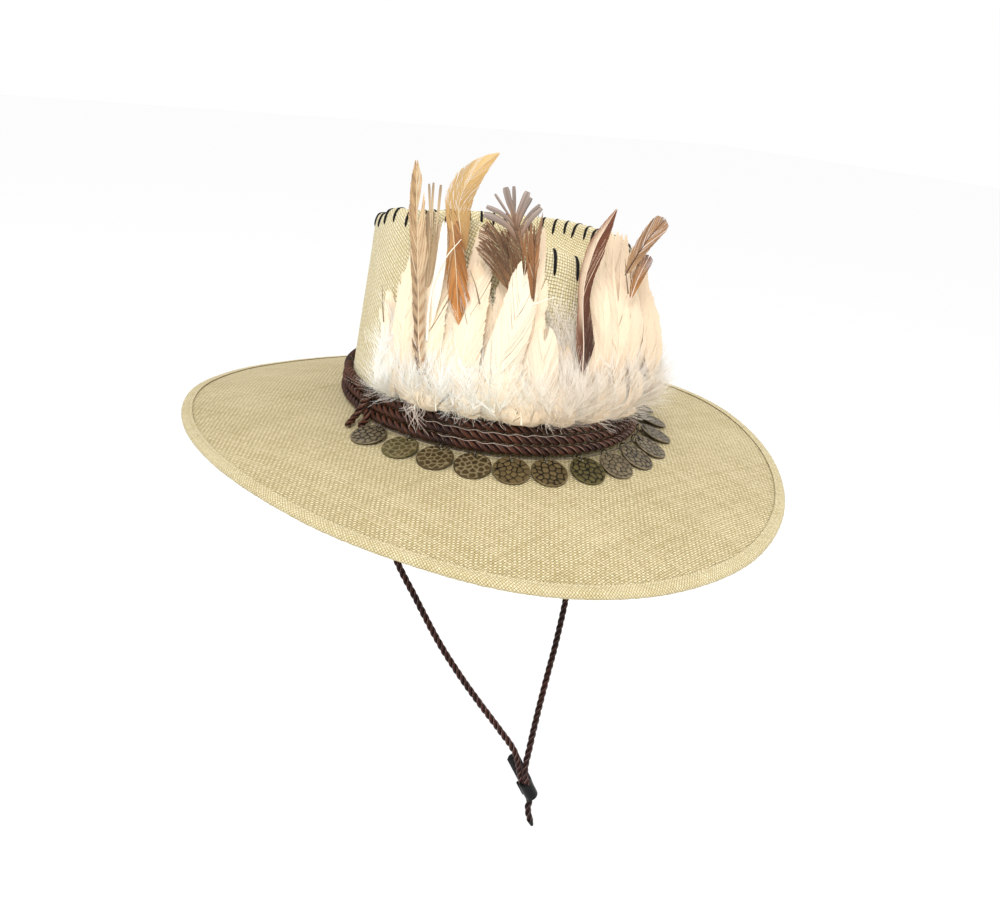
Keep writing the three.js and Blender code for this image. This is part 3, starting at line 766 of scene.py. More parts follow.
# %% [markdown]
# ## Straw cloth
# The crown and the brim are one stiffened cloth, a plain weave of thick straw-coloured yarns that
# go over and under each other. Up close each crossing is a small pillow with a dark pit at each
# corner, and from further off one sees fine lines and slow golden patches. Modelling every yarn
# would take millions of faces, so the weave is worked out in the finish: the position on the
# cloth, counted in yarns, says which yarn is on top, how high it stands and what shade it has.
# The dark of the pits is painted shade: where the yarn stands low, the colour goes to a dark pit
# colour. The cells where the warp is on top are painted darker and more golden than those where
# the weft is on top, as painted light, because the two sets of yarns catch the light differently.
# The yarns of the brim cross at 73 degrees, as a cloth does that was pulled askew on its block.

# %% One set of yarns
yarn_roundness = 0.6
arch_roundness = 0.5
slub_scale = 0.35


def yarns_counted(tree, place, yarns):
    """How many yarns lie between the cloth's middle and a place, for a direction and a pitch."""
    way, pitch = math.radians(yarns[0]), yarns[1]
    step = (math.cos(way) / pitch, math.sin(way) / pitch, 0)
    made = node(tree, "ShaderNodeVectorMath", {"operation": "DOT_PRODUCT"}, i0=place, i1=step)
    return made.outputs["Value"]


def bulge(tree, fraction, power):
    return maths(tree, "POWER", maths(tree, "SINE", maths(tree, "MULTIPLY", fraction, math.pi)), power)


def yarn(tree, crosswise, lengthwise, number, run):
    """Height and shade of one set of yarns. Each yarn has its own shade, and thick places."""
    arch = maths(tree, "MULTIPLY_ADD", bulge(tree, lengthwise, arch_roundness), 0.6, 0.4)
    height = maths(tree, "MULTIPLY", bulge(tree, crosswise, yarn_roundness), arch)
    shade = node(tree, "ShaderNodeTexWhiteNoise", {"noise_dimensions": "1D"}, W=number).outputs["Value"]
    slub_place = node(tree, "ShaderNodeCombineXYZ", X=maths(tree, "MULTIPLY", number, 7.3), Y=run)
    slub = node(tree, "ShaderNodeTexNoise", Vector=slub_place.outputs[0], Scale=slub_scale, Detail=2.0)
    own = maths(tree, "SUBTRACT", shade, 0.5)
    return height, maths(tree, "MULTIPLY_ADD", own, 0.35, slub.outputs["Fac"])


def chosen(tree, over, when_over, otherwise):
    return maths(tree, "ADD", maths(tree, "MULTIPLY", when_over, over),
                 maths(tree, "MULTIPLY", otherwise, maths(tree, "SUBTRACT", 1.0, over)))


# %% Straw cloth finish
sway_scale, sway_reach = 70.0, 0.0017
patch_scale = 28.0
weft_offset = 511.5
weave_depth = 0.0007


def straw_cloth(name, pale, golden, painted_pit_shade, warp_yarns, weft_yarns, painted_cell_light):
    """Woven finish. Each set of yarns is a direction on the cloth in degrees and a pitch."""
    material, tree, shader = new_finish(name, 0.82, Specular_IOR_Level=0.25, Sheen_Weight=0.12)
    sway = vector_maths(tree, "SUBTRACT", surface_noise(tree, sway_scale, 2.0)[1], (0.5, 0.5, 0.5))
    sway = node(tree, "ShaderNodeVectorMath", {"operation": "SCALE"}, i0=sway, Scale=sway_reach)
    place = vector_maths(tree, "ADD", thread_position(tree), sway.outputs[0])
    counts = {"X": yarns_counted(tree, place, warp_yarns), "Y": yarns_counted(tree, place, weft_yarns)}
    counted = node(tree, "ShaderNodeCombineXYZ", **counts).outputs[0]
    inside, cell, along = (
        node(tree, "ShaderNodeSeparateXYZ", Vector=part).outputs
        for part in (vector_maths(tree, "FRACTION", counted), vector_maths(tree, "FLOOR", counted), counted)
    )
    over = maths(tree, "FLOORED_MODULO", maths(tree, "ADD", cell["X"], cell["Y"]), 2.0)
    warp, warp_shade = yarn(tree, inside["X"], inside["Y"], cell["X"], along["Y"])
    weft_number = maths(tree, "ADD", cell["Y"], weft_offset)
    weft, weft_shade = yarn(tree, inside["Y"], inside["X"], weft_number, along["X"])
    height = chosen(tree, over, warp, weft)
    own = maths(tree, "MULTIPLY_ADD", chosen(tree, over, warp_shade, weft_shade), 1.5, -0.62)
    # Painted light: cells where the warp is on top are made darker and more golden than cells where the weft
    # is on top.
    own = maths(tree, "MULTIPLY_ADD", maths(tree, "SUBTRACT", over, 0.5), painted_cell_light, own)
    patches = surface_noise(tree, patch_scale, 3.0)[0]
    goldness = maths(tree, "MULTIPLY_ADD", patches, 0.7, own, clamp=True)
    # Painted shade in the pits: where the yarn stands low, the colour goes to the pit colour.
    ridge_light = maths(tree, "MULTIPLY_ADD", height, 1.9, -0.25, clamp=True)
    base_colour = mix_colour(tree, ridge_light, painted_pit_shade, mix_colour(tree, goldness, pale, golden))
    tree.links.new(base_colour, shader.inputs["Base Color"])
    raise_surface(tree, shader, height, weave_depth, strength=0.9)
    return material


# The third colour of each cloth is the painted shade in its pits.
pit_shade_colour = (0.36, 0.27, 0.12)
brim_colours = (0.82, 0.69, 0.42), (0.48, 0.38, 0.165), (0.15, 0.12, 0.04)
crown_colours = (0.88, 0.80, 0.55), (0.72, 0.61, 0.33), pit_shade_colour
bias_colours = (0.80, 0.70, 0.44), (0.62, 0.51, 0.26), pit_shade_colour
brim_cloth = straw_cloth("brim_cloth", *brim_colours, (27.5, 0.00162), (100.6, 0.00135), painted_cell_light=0.62)
crown_cloth = straw_cloth("crown_cloth", *crown_colours, (0, 0.00165), (90, 0.0020), painted_cell_light=0.4)
bias_cloth = straw_cloth("bias_cloth", *bias_colours, (45, 0.0013), (135, 0.0013), painted_cell_light=0.25)
print("cloth finishes:", brim_cloth.name, crown_cloth.name, bias_cloth.name)

# %% [markdown]
# ## Crown
# The crown is blocked: cloth is pressed over a block until it keeps the shape. Its wall leans in
# a little, the rim stands highest at the wearer's right, and the top is pressed down into a
# shallow dish. The shell is one smooth section, worked out for each turn: from the centre of the
# dish up over the rim and down the wall, and back up the inside 2 mm away. The wall's cloth is
# a curved strip sewn at the back, so its weave swings slowly as one goes round it.

# %% Section of the crown
fine_turns = np.linspace(-180, 180, 241)
dish_shares = (0.02, 0.25, 0.5, 0.75, 0.93, 1.0)
wall_shares = (0.8, 0.6, 0.4, 0.2)
wall_top_drop = 0.007
rim_crest = ((0.0105, 0.0145), (0.008, 0.007), (0.0066, 0.002), (0.004, 0.0), (0.0012, 0.0016))
rim_fold = ((0.004, 0.0024), (0.006, 0.008), (0.0086, 0.0158))
crest_place = len(dish_shares) + 3
section_detail = 5


def crown_section(turn):
    height = rim_height(turn)
    outer = [dish_point(turn, share) for share in dish_shares]
    outer += [rim_point(turn, inset, drop) for inset, drop in rim_crest]
    wall_heights = [height - wall_top_drop, *(height * share for share in wall_shares), 0.0]
    outer += [wall_point(turn, at) for at in wall_heights]
    inner = [wall_point(turn, at, -cloth) for at in reversed(wall_heights)]
    inner += [rim_point(turn, inset, drop) for inset, drop in rim_fold]
    inner += [dish_point(turn, share, cloth) for share in reversed(dish_shares)]
    return outer, inner


outer_rows, inner_rows = crown_section(fine_turns)
outer_sheet = smooth_line(np.array(outer_rows), section_detail)
inner_sheet = smooth_line(np.array(inner_rows), section_detail)
crest_row = crest_place * section_detail
print("sheets of", outer_sheet.shape[:2], "and", inner_sheet.shape[:2], "points, crest in row", crest_row)

# %% Where each point lies on the flat cloth
weave_swing = 4.6


def strip_position(sheet, first_row):
    """Position on the flat cloth for the rows of a wall, which is a curved strip when laid flat."""
    around = distances(sheet[len(sheet) // 2])
    around -= around[len(around) // 2]
    down = distances(sheet[:, 0])
    down = (down - down[first_row:].mean())[:, None]
    flat = (np.exp(1j * weave_swing * (around[None] + 1j * down)) - 1) / (1j * weave_swing)
    return np.stack([flat.real, flat.imag], axis=-1)


def disc_position(sheet):
    """Position on the flat cloth for rows that start at the centre of a disc."""
    down = distances(sheet[:, 0])
    angle = np.radians(fine_turns)[None]
    return np.stack([down[:, None] * np.sin(angle), -down[:, None] * np.cos(angle)], axis=-1)


def corner_values(position, rows):
    here, there = position[rows[0] : rows[1]], position[rows[0] + 1 : rows[1] + 1]
    corners = [here[:, :-1], here[:, 1:], there[:, 1:], there[:, :-1]]
    return np.stack(corners, axis=2).reshape(-1, 2)


flat_wall = strip_position(outer_sheet, crest_row)[crest_row:]
print("the wall's cloth laid flat, metres:", np.ptp(flat_wall, axis=(0, 1)).round(3))


# %% Crown shell
def closed_round(sheet):
    """Points and quads from a sheet whose last column repeats the first."""
    rows, columns = sheet.shape[0], sheet.shape[1] - 1
    return sheet[:, :-1].reshape(-1, 3), grid_quads(rows, columns, join_columns=True)


outer_points, outer_quads = closed_round(outer_sheet)
inner_points, inner_quads = closed_round(inner_sheet)
columns = len(fine_turns) - 1
strip = np.arange(columns // 2 - 1)
centre_quads = np.stack([strip + 1, strip, columns - 1 - strip, columns - 2 - strip], axis=1)
inner_centre = centre_quads[:, ::-1]
last_row = len(outer_sheet) - 1
here = np.arange(columns)
there = (here + 1) % columns
foot_join = np.stack([
    here + last_row * columns, there + last_row * columns,
    there + len(outer_points), here + len(outer_points),
], axis=1)
crown_threads = np.concatenate([
    corner_values(disc_position(outer_sheet), (0, crest_row)),
    corner_values(strip_position(outer_sheet, crest_row), (crest_row, last_row)),
    corner_values(strip_position(inner_sheet, 0), (0, len(inner_sheet) - 1)),
    np.zeros((len(foot_join) * 4, 2)),
    disc_position(outer_sheet)[0][centre_quads].reshape(-1, 2),
    strip_position(inner_sheet, 0)[-1][inner_centre].reshape(-1, 2),
])
crown_points = np.concatenate([outer_points, inner_points])
crown_quads = np.concatenate([
    outer_quads,
    inner_quads + len(outer_points),
    foot_join,
    centre_quads,
    inner_centre + len(crown_points) - columns,
])
crown_mesh = make_mesh("straw_crown", crown_points, crown_quads, crown_threads)
add_piece("straw_crown", crown_mesh, crown_cloth, "straw_cloth", "crown")

# %% [markdown]
# ## Brim
# The brim is a flat ring of the same cloth, heated and bent: it falls away from the crown, dips
# at the front and the back, and curls up a little at the sides. Two sheets, 2 mm apart and
# joined at both edges, give its faces. The weave runs straight across the whole ring, as it does
# in a cloth that was cut flat. A slow ripple of a few tenths of a millimetre keeps the edge from
# being perfect.

# %% Brim ring
brim_rows = 44
ripple = 0.00035


def rippled(turn):
    angle = np.radians(turn)
    return ripple * (np.sin(5 * angle + 0.7) + 0.6 * np.sin(9 * angle + 2.1) + 0.4 * np.sin(14 * angle))


def brim_sheet(below):
    shares = np.linspace(0, 1, brim_rows)
    sheet = np.array([brim_point(fine_turns, share, below) for share in shares])
    sheet[..., 2] += rippled(fine_turns)[None] * shares[:, None] ** 2
    return sheet


upper_face, lower_face = brim_sheet(0.0), brim_sheet(cloth)[::-1]
brim_all = np.concatenate([upper_face, lower_face])
brim_columns = brim_all.shape[1] - 1
brim_quads = grid_quads(len(brim_all), brim_columns, join_rows=True, join_columns=True)
brim_points = brim_all[:, :-1].reshape(-1, 3)
brim_threads = brim_points[brim_quads.ravel(), :2]
brim_mesh = make_mesh("straw_brim", brim_points, brim_quads, brim_threads)
add_piece("straw_brim", brim_mesh, brim_cloth, "straw_cloth", "brim")

# %% [markdown]
# ## Bound edge
# The raw edge is hidden in a folded strip of the cloth, sewn down by a row of small stitches about
# 4 mm in. The strip swells between the fold and the seam, and at the seam it is drawn tight.
# One section with those two features is carried round the edge. Its outer face is a little
# uneven, because the weave of a bias strip shows at the fold.

# %% Binding
binding_width = 0.005
seam_inset = 0.0011
binding_cloth_thickness = 0.0007
inside_fold = cloth / 2 + clearance
outside_fold = inside_fold + binding_cloth_thickness
upper_half = [
    (-binding_width, inside_fold),
    (-binding_width - 0.0002, outside_fold - 0.0003),
    (-binding_width + 0.0004, outside_fold - 0.0001),
    (-binding_width + seam_inset, inside_fold + 0.0003),
    (-binding_width + 0.0018, outside_fold),
    (-0.0015, outside_fold + 0.0001),
    (0.0003, outside_fold - 0.0001),
    (0.0013, outside_fold * 0.62),
]
lower_half = [(across, -up) for across, up in reversed(upper_half)]
raw_edge = [(0.0003, -inside_fold), (0.0003, inside_fold)]
binding_section = np.array([*upper_half, (0.0016, 0.0), *lower_half, *raw_edge])
edge_turns = np.linspace(-180, 180, 961)[:-1]
edge_length = 1.25
cloth_unevenness = 0.00008


def edge_point(turn, across, up):
    point = brim_point(turn, 1 + across / brim_span, cloth / 2 - up)
    point[..., 2] += rippled(turn)
    return point


unevenness = rng.normal(0, cloth_unevenness, (len(edge_turns), len(binding_section), 2))
unevenness[:, 0] = unevenness[:, -3:] = 0
binding_points = np.array([
    edge_point(edge_turns, across + unevenness[:, k, 0], up + unevenness[:, k, 1])
    for k, (across, up) in enumerate(binding_section)
])
section_steps = distances(binding_section)
edge_quads = grid_quads(len(binding_section), len(edge_turns), join_rows=True, join_columns=True)
edge_row, edge_column = np.divmod(edge_quads.ravel(), len(edge_turns))
around_edge = edge_column / len(edge_turns) * edge_length
binding_threads = np.stack([around_edge, section_steps[edge_row]], axis=-1)
binding_mesh = make_mesh("edge_binding", binding_points, edge_quads, binding_threads)
add_piece("edge_binding", binding_mesh, bias_cloth, "binding_tape", "brim_binding")

# %% Topstitch
stitch_count = 400
stitch_share = 0.62
stitch_radius = 0.0003
stitch_sides = 6
stitch_sunk = 0.00055
stitch_arch = 0.0003
stitch_part = np.linspace(0, 1, 6)
stitch_turns = (np.arange(stitch_count)[:, None] + stitch_part * stitch_share) / stitch_count * 360 - 180
stitch_rise = outside_fold - stitch_sunk + stitch_arch * np.sin(math.pi * stitch_part)


def topstitch(side):
    centre = edge_point(stitch_turns, -binding_width + seam_inset, side * stitch_rise[None])
    along = unit(np.gradient(centre, axis=1))
    up = np.array([0, 0, 1.0])
    across = unit(np.cross(along, up))
    angles = np.arange(stitch_sides)[:, None] / stitch_sides * 2 * math.pi
    ring = across[:, :, None] * np.cos(angles) + up * np.sin(angles)
    size = stitch_radius * np.sqrt(np.sin(math.pi * np.clip(stitch_part, 0.04, 0.96)))
    points = centre[:, :, None] + ring * size[:, None, None]
    one = grid_quads(len(stitch_part), stitch_sides, join_columns=True)
    each = np.arange(stitch_count)[:, None, None] * len(stitch_part) * stitch_sides
    return points.reshape(-1, 3), (one[None] + each).reshape(-1, 4)


thread_colour = (0.70, 0.60, 0.36, 1)
sewing_thread = plain_finish("straw_sewing_thread", 0.6, Base_Color=thread_colour, Sheen_Weight=0.2)
seam_mesh = make_mesh("edge_topstitch", *join_parts([topstitch(1), topstitch(-1)]))
add_piece("edge_topstitch", seam_mesh, sewing_thread, "binding_tape")

# %% [markdown]
# ## Whip stitches
# A thick black thread is whipped over the rim all the way round: each stitch climbs the wall, goes
# over the crest and ends in the dish. A bevelled curve would do for one stitch. For forty-five a
# small tube along the crown's own section is as easy, because it follows the cloth exactly. The
# thread is pulled tight, so it is half sunk into the cloth and thins out where it goes through.
# By hand no two stitches are alike, so each has its own length, lean and place.

# %% Black thread
stitch_thread, black_tree, black_shader = new_finish(
    "stitch_thread", 0.7, Base_Color=(0.007, 0.007, 0.008, 1), Specular_IOR_Level=0.15
)
thread_grain = surface_noise(black_tree, 1600.0, 2.0)[0]
raise_surface(black_tree, black_shader, thread_grain, distance=0.0002, strength=0.6)
whip_radius = 0.0010
whip_sides = 8
whip_steps = 26


def tube(route, size, sides, first=None):
    """Round tube along a route, with a radius for each of its points."""
    along, out, across = frames_along(route, first=first)
    angles = np.arange(sides)[:, None] / sides * 2 * math.pi
    ring = out[:, None] * np.cos(angles) + across[:, None] * np.sin(angles)
    points = route[:, None] + ring * np.broadcast_to(size, len(route))[:, None, None]
    return points.reshape(-1, 3), grid_quads(len(route), sides, join_columns=True)


print("black thread,", 2 * whip_radius, "m thick")

# %% Stitches over the rim
front_stitches = [
    -122, -106.5, -98.5, -90.5, -81.5, -72.5, -62, -52, -44, -35, -25, -15.5, -4.5, 5, 15, 26, 37,
]
later_stitches = np.arange(45.2, 232, 6.8)
long_stitches = (-20, 0)
stitch_detail = 8
crest_width = 0.0022
end_depth = 0.0011


def whip_stitch(turn):
    outer_leg = rng.uniform(0.0105, 0.0128)
    if long_stitches[0] < turn < long_stitches[1]:
        outer_leg = rng.uniform(0.015, 0.017)
    inner_leg = rng.uniform(0.0105, 0.0125)
    lean = rng.normal(0, 0.5)
    section = smooth_line(np.array(crown_section(turn)[0]), stitch_detail)
    along = distances(section)
    crest = along[crest_place * stitch_detail]
    share = np.linspace(0, 1, whip_steps)
    wanted = crest - inner_leg + (inner_leg + outer_leg) * share
    line = np.stack([np.interp(wanted, along, section[:, k]) for k in range(3)], axis=1)
    forward = unit(np.gradient(line, axis=0))
    level_way = unit(np.cross((0, 0, 1), outward(np.array(turn))))
    away = unit(np.cross(forward, level_way))
    if away[-1] @ outward(np.array(turn)) < 0:
        away = -away
    thickness = whip_radius * np.clip(np.sin(math.pi * share) * 2.6, 0.12, 1) ** 0.7
    over_crest = np.exp(-(((wanted - crest) / crest_width) ** 2))
    lift = whip_radius * (0.15 - 0.75 * over_crest) - end_depth * np.exp(-share * (1 - share) * 60)
    sideways = level_way * (lean * (share - 0.5) * 0.003 + rng.normal(0, 0.0002))[:, None]
    route = line + away * lift[:, None] + sideways
    return tube(route, thickness * (0.95 + 0.05 * np.cos(share * 40)), whip_sides)


stitches = [whip_stitch(float(turn)) for turn in [*front_stitches, *later_stitches]]
whip_mesh = make_mesh("rim_stitches", *join_parts(stitches))
print(len(stitches), "whip stitches")
add_piece("rim_stitches", whip_mesh, stitch_thread, "stitch_black")

# %% [markdown]
# ## Band of three cords
# Three twisted cords go round the foot of the crown, one above the other, and the feather strip
# hides behind them. They are closed loops, so the twist must come out even: the length of one
# turn of the strands is adjusted a little until a whole number of turns fits the loop.

# %% Band cords
band_cord_radius = 0.003
band_heights = {"lower": 0.0039, "middle": 0.0102, "upper": 0.0165}
strip_turns = (-82.5, 82.5)
strip_fade = 15
strip_thickness = 0.0012
band_lay = 0.0165
band_step = 0.0011


def strip_presence(turn):
    rising = smooth_step(turn, strip_turns[0] - strip_fade, strip_turns[0])
    return rising - smooth_step(turn, strip_turns[1], strip_turns[1] + strip_fade)


def band_out(turn):
    return clearance + band_cord_radius + strip_presence(turn) * (strip_thickness + clearance)


loop_turns = np.linspace(-180, 180, 721)
band_sides = 9
upward = (0, 0, 1)
for row, height in band_heights.items():
    loop = wall_point(loop_turns, height, band_out(loop_turns))
    route = evenly(loop, int(line_length(loop) / band_step) + 1)[:-1]
    mesh = cord_mesh(
        f"band_{row}", route, band_cord_radius, band_lay, band_sides, closed=True, first=upward
    )
    add_piece(f"band_{row}", mesh, band_yarn, "band_cord", f"band_cord_{row}")

# %% [markdown]
# ## Knot and tails
# At the wearer's right the cords are tied: one end comes over the stack, turns down across it and
# is drawn under, and two cut ends lie on the brim. A knot is hard to simulate and easy to give
# as a short route with the same strands as the band.

# %% Knot and the two cut ends
knot_radius = 0.0025
knot_lay = 0.0130
knot_rows = [
    (-79.5, 0.0086, 0.019), (-81.5, 0.0092, 0.0176), (-83.2, 0.0098, 0.0136),
    (-84.2, 0.0102, 0.0096), (-84.6, 0.0105, 0.0062),
]
tail_radius = 0.0022
tail_lay = 0.016
piece_steps = 46
tails = {
    "long": [
        (-83.6, 0.0104, 0.0098), (-84.4, 0.0122, 0.0056), (-84.6, 0.0146, 0.0024),
        (-83.8, 0.0174, 0.0012), (-83, 0.0202, 0.0006), (-82.3, 0.023, 0.0003),
    ],
    "short": [
        (-81.6, 0.0096, 0.0076), (-81, 0.0108, 0.0034), (-80.6, 0.0126, 0.0012),
        (-80.2, 0.0152, 0.0006), (-79.9, 0.0176, 0.0003),
    ],
}


def band_piece(name, rows, radius, lay, replaced, ends):
    route = evenly(smooth_line(rows, 20), piece_steps)
    mesh = cord_mesh(name, route, radius, lay, band_sides, first=upward, ends=ends)
    add_piece(name, mesh, band_yarn, "band_cord", replaced)


knot_points = [beside_crown(*row) for row in knot_rows]
band_piece("band_knot_cord", knot_points, knot_radius, knot_lay, "band_knot", 0.0004)
for name, rows in tails.items():
    lying = [
        beside_crown(turn, out, brim_height(turn, out) + tail_radius + lift)
        for turn, out, lift in rows
    ]
    band_piece(f"tail_{name}", lying, tail_radius, tail_lay, f"band_tail_{name}", 0.0008)

# %% [markdown]
# Two pale sewing threads lie in the grooves between the cords, where the plume was tacked down.
# They wander a little in and out of the strands, which a noise on their height would make uneven
# and a slow wave makes like a thread under tension.

# %% Pale threads in the grooves
pale_colour = (0.62, 0.50, 0.44, 1)
pale_thread = plain_finish("pale_thread", 0.6, Base_Color=pale_colour, Specular_IOR_Level=0.2)
pale_radius = 0.00016
groove_depth = 0.00185
waver = 0.0004
groove_threads = []
for low, high, height in ((-58, -8, 0.0132), (-53, -27, 0.0069)):
    turns = np.linspace(low, high, 90)
    off = band_out(turns) + groove_depth + waver * np.sin(turns * 1.3)
    wavy = height + waver * np.sin(turns * 0.9)
    groove_threads.append(tube(wall_point(turns, wavy, off), pale_radius, 6, first=upward))
groove_mesh = make_mesh("groove_threads", *join_parts(groove_threads))
add_piece("groove_threads", groove_mesh, pale_thread, "thread")

# %% [markdown]
# ## Coins on jump rings
# Thirteen thin pressed discs hang in a row from jump rings on a thread under the lower cord. Each
# has a small hole near its edge and a crackle like dried mud, pressed into it. The crackle could
# be a bump texture, and then the edge of every plate would stay flat against the light. A fine
# grid that goes from the hole's circle out to the rim's circle carries it as real relief: a
# point's height comes from how nearly equal its distances to the two nearest plate centres are.

# %% Coin and ring places
coin_turns = [-73.5, -61.7, -50.4, -39.2, -27.8, -16.1, -2.8, 9.3, 21.1, 33, 46.5, 60, 73]
coin_radius = 0.0108
coin_thickness = 0.0009
coin_hole_radius = 0.0015
coin_hole_inset = 0.0025
ring_radius = 0.0026
ring_wire = 0.00045
ring_tuck = 0.0004
thread_slack = 0.0001
thread_radius = 0.0005
thread_inset = 0.0013
tilt_passes = 6
vertical = np.array([0, 0, 1.0])


def ring_centre(turn):
    cord_out = band_out(turn) - ring_tuck
    over_brim = ring_radius + ring_wire + clearance
    reach = over_brim + band_cord_radius + thread_slack
    guess = brim_height(turn, cord_out + reach) + over_brim
    out = cord_out + np.sqrt(reach**2 - (band_heights["lower"] - guess) ** 2)
    return out, brim_height(turn, out) + over_brim


def coin_place(turn):
    """Centre of a coin that rests on the brim, and its downhill, sideways and off-face ways."""
    out, height = ring_centre(turn)
    hole_out = out + ring_radius
    hole_to_edge = 2 * coin_radius - coin_hole_inset
    hole_to_centre = coin_radius - coin_hole_inset
    tilt = 0.0
    for _ in range(tilt_passes):
        rest = brim_height(turn, hole_out + hole_to_edge * math.cos(tilt))
        rest = rest + clearance + coin_thickness / 2
        tilt = math.asin((height - rest) / hole_to_edge)
    centre_out = hole_out + hole_to_centre * math.cos(tilt)
    centre = beside_crown(turn, centre_out, height - hole_to_centre * math.sin(tilt))
    away = outward(np.array(float(turn)))
    downhill = away * math.cos(tilt) - vertical * math.sin(tilt)
    sideways = np.cross(vertical, away)
    return centre, downhill, sideways, np.cross(downhill, sideways)


print(len(coin_turns), "coins, the first ring", ring_centre(coin_turns[0])[0].round(4), "m off the wall")


# %% Crackle of the pressed discs
coin_rows = 34
coin_columns = 132
plate_size = 0.0040
crack_width = 0.00070
crack_depth = 0.00026
border_width = 0.0009
edge_rounding = 0.0002


def crackle(points):
    """Share of a crack's floor at each point (1 in the crack) and the number of its plate."""
    count = int(2 * coin_radius / plate_size) + 3
    grid = (np.arange(count) - count / 2 + 0.5) * plate_size
    seeds = np.stack(np.meshgrid(grid, grid * 0.92), axis=-1)
    seeds[::2, :, 0] += plate_size / 2
    seeds = seeds.reshape(-1, 2) + rng.uniform(-0.36, 0.36, (count * count, 2)) * plate_size
    gaps = np.linalg.norm(points[:, None] - seeds[None], axis=2)
    nearest = np.argsort(gaps, axis=1)[:, :2]
    first = np.take_along_axis(gaps, nearest[:, :1], 1)[:, 0]
    second = np.take_along_axis(gaps, nearest[:, 1:], 1)[:, 0]
    width = crack_width * rng.uniform(0.8, 1.2)
    return 1 - smooth_step(second - first, width * 0.4, width * 1.5), nearest[:, 0]


print("a coin has room for", int(math.pi * (coin_radius / plate_size) ** 2), "whole plates")


# %% One pressed disc
def pressed_disc(plate_colour, line_colour, raised):
    """One coin in its own axes, with a colour for each point."""
    share = np.linspace(0, 1, coin_rows)[:, None]
    angle = np.arange(coin_columns)[None] / coin_columns * 2 * math.pi
    radius = blend(coin_hole_radius, coin_radius, share)
    middle = blend(coin_hole_inset - coin_radius, 0, share)
    flat = np.stack([middle + radius * np.cos(angle), radius * np.sin(angle)], axis=-1).reshape(-1, 2)
    in_crack, plate = crackle(flat)
    distance = np.linalg.norm(flat, axis=1)
    border = smooth_step(distance, coin_radius - border_width, coin_radius - 0.0005)
    in_crack = in_crack * (1 - border)
    rounded = (np.clip((coin_radius - distance) / 0.0003, 0, 1) ** 0.5 - 1) * edge_rounding
    relief = (in_crack if raised else -in_crack) * crack_depth
    top = coin_thickness / 2 - (crack_depth if raised else 0) + relief + rounded
    points = np.column_stack([flat, top])
    tone = rng.uniform(0.8, 1.2, plate.max() + 1)[plate][:, None]
    wear = rng.normal(1, 0.05, (len(flat), 1))
    colour = blend(np.array(plate_colour) * tone, np.array(line_colour), in_crack[:, None]) * wear
    back_flat = flat.reshape(coin_rows, coin_columns, 2)[[0, -1]].reshape(-1, 2)
    back = np.column_stack([back_flat, np.full(len(back_flat), -coin_thickness / 2)])
    count = coin_rows * coin_columns
    quads = grid_quads(coin_rows, coin_columns, join_columns=True)
    back_quads = grid_quads(2, coin_columns, join_columns=True)[:, ::-1] + count
    here = np.arange(coin_columns)
    there = (here + 1) % coin_columns
    hole = np.stack([here + count, there + count, there, here], axis=1)
    last, behind = count - coin_columns, count + coin_columns
    rim = np.stack([here + last, there + last, there + behind, here + behind], axis=1)
    colours = np.concatenate([colour, np.tile(np.array(plate_colour) * 0.6, (len(back), 1))])
    faces = np.concatenate([quads, back_quads, hole, rim])[:, ::-1]
    return np.concatenate([points, back]), faces, colours


print("a coin's face is a grid of", coin_rows, "by", coin_columns, "points")


# %% Antiqued metal
def tinted_finish(name, roughness, **constants):
    material, tree, shader = new_finish(name, roughness, **constants)
    tint = node(tree, "ShaderNodeAttribute", {"attribute_name": "tint"})
    tree.links.new(tint.outputs["Color"], shader.inputs["Base Color"])
    return material, tree, shader


coin_metal, coin_tree, coin_shader = tinted_finish(
    "old_coin_metal", 0.42, Metallic=0.6, Specular_IOR_Level=0.3
)
tarnish = surface_noise(coin_tree, 900.0, 3.0)[0]
dullness = maths(coin_tree, "MULTIPLY_ADD", tarnish, 0.35, 0.25)
coin_tree.links.new(dullness, coin_shader.inputs["Roughness"])
raise_surface(coin_tree, coin_shader, tarnish, distance=0.00006, strength=0.5)
ring_metal = plain_finish("dark_ring_metal", 0.35, Base_Color=(0.10, 0.085, 0.07, 1), Metallic=0.9)
taupe = (0.190, 0.148, 0.088)
olive = (0.110, 0.090, 0.032)
brown = (0.085, 0.056, 0.022)
tan_brown = (0.165, 0.118, 0.052)
dark_line = (0.008, 0.006, 0.003)
pale_line = (0.30, 0.24, 0.13)
dark_cracks, pale_ridges = (dark_line, False), (pale_line, True)
coin_looks = [
    (taupe, *dark_cracks), (olive, *pale_ridges), (brown, *pale_ridges), (brown, *pale_ridges),
    (tan_brown, *dark_cracks), (tan_brown, *dark_cracks), (olive, *dark_cracks),
    *[(taupe, *dark_cracks)] * 6,
]
print("finishes:", coin_metal.name, ring_metal.name)

# %% Jump rings and the whole row
ring_steps = 28
wire_sides = 8


def ring_mesh(name, turn):
    out, height = ring_centre(turn)
    away = outward(np.array(float(turn)))
    centre = beside_crown(turn, out, height)
    angles = np.linspace(0, 2 * math.pi, ring_steps + 1)[:-1, None]
    circle = centre + ring_radius * (away * np.cos(angles) + vertical * np.sin(angles))
    level_way = np.cross(away, vertical)
    around = np.arange(wire_sides)[None, :, None] / wire_sides * 2 * math.pi
    radial = unit(circle - centre)[:, None]
    points = circle[:, None] + ring_wire * (radial * np.cos(around) + level_way * np.sin(around))
    return make_mesh(name, points, grid_quads(ring_steps, wire_sides, join_rows=True, join_columns=True))


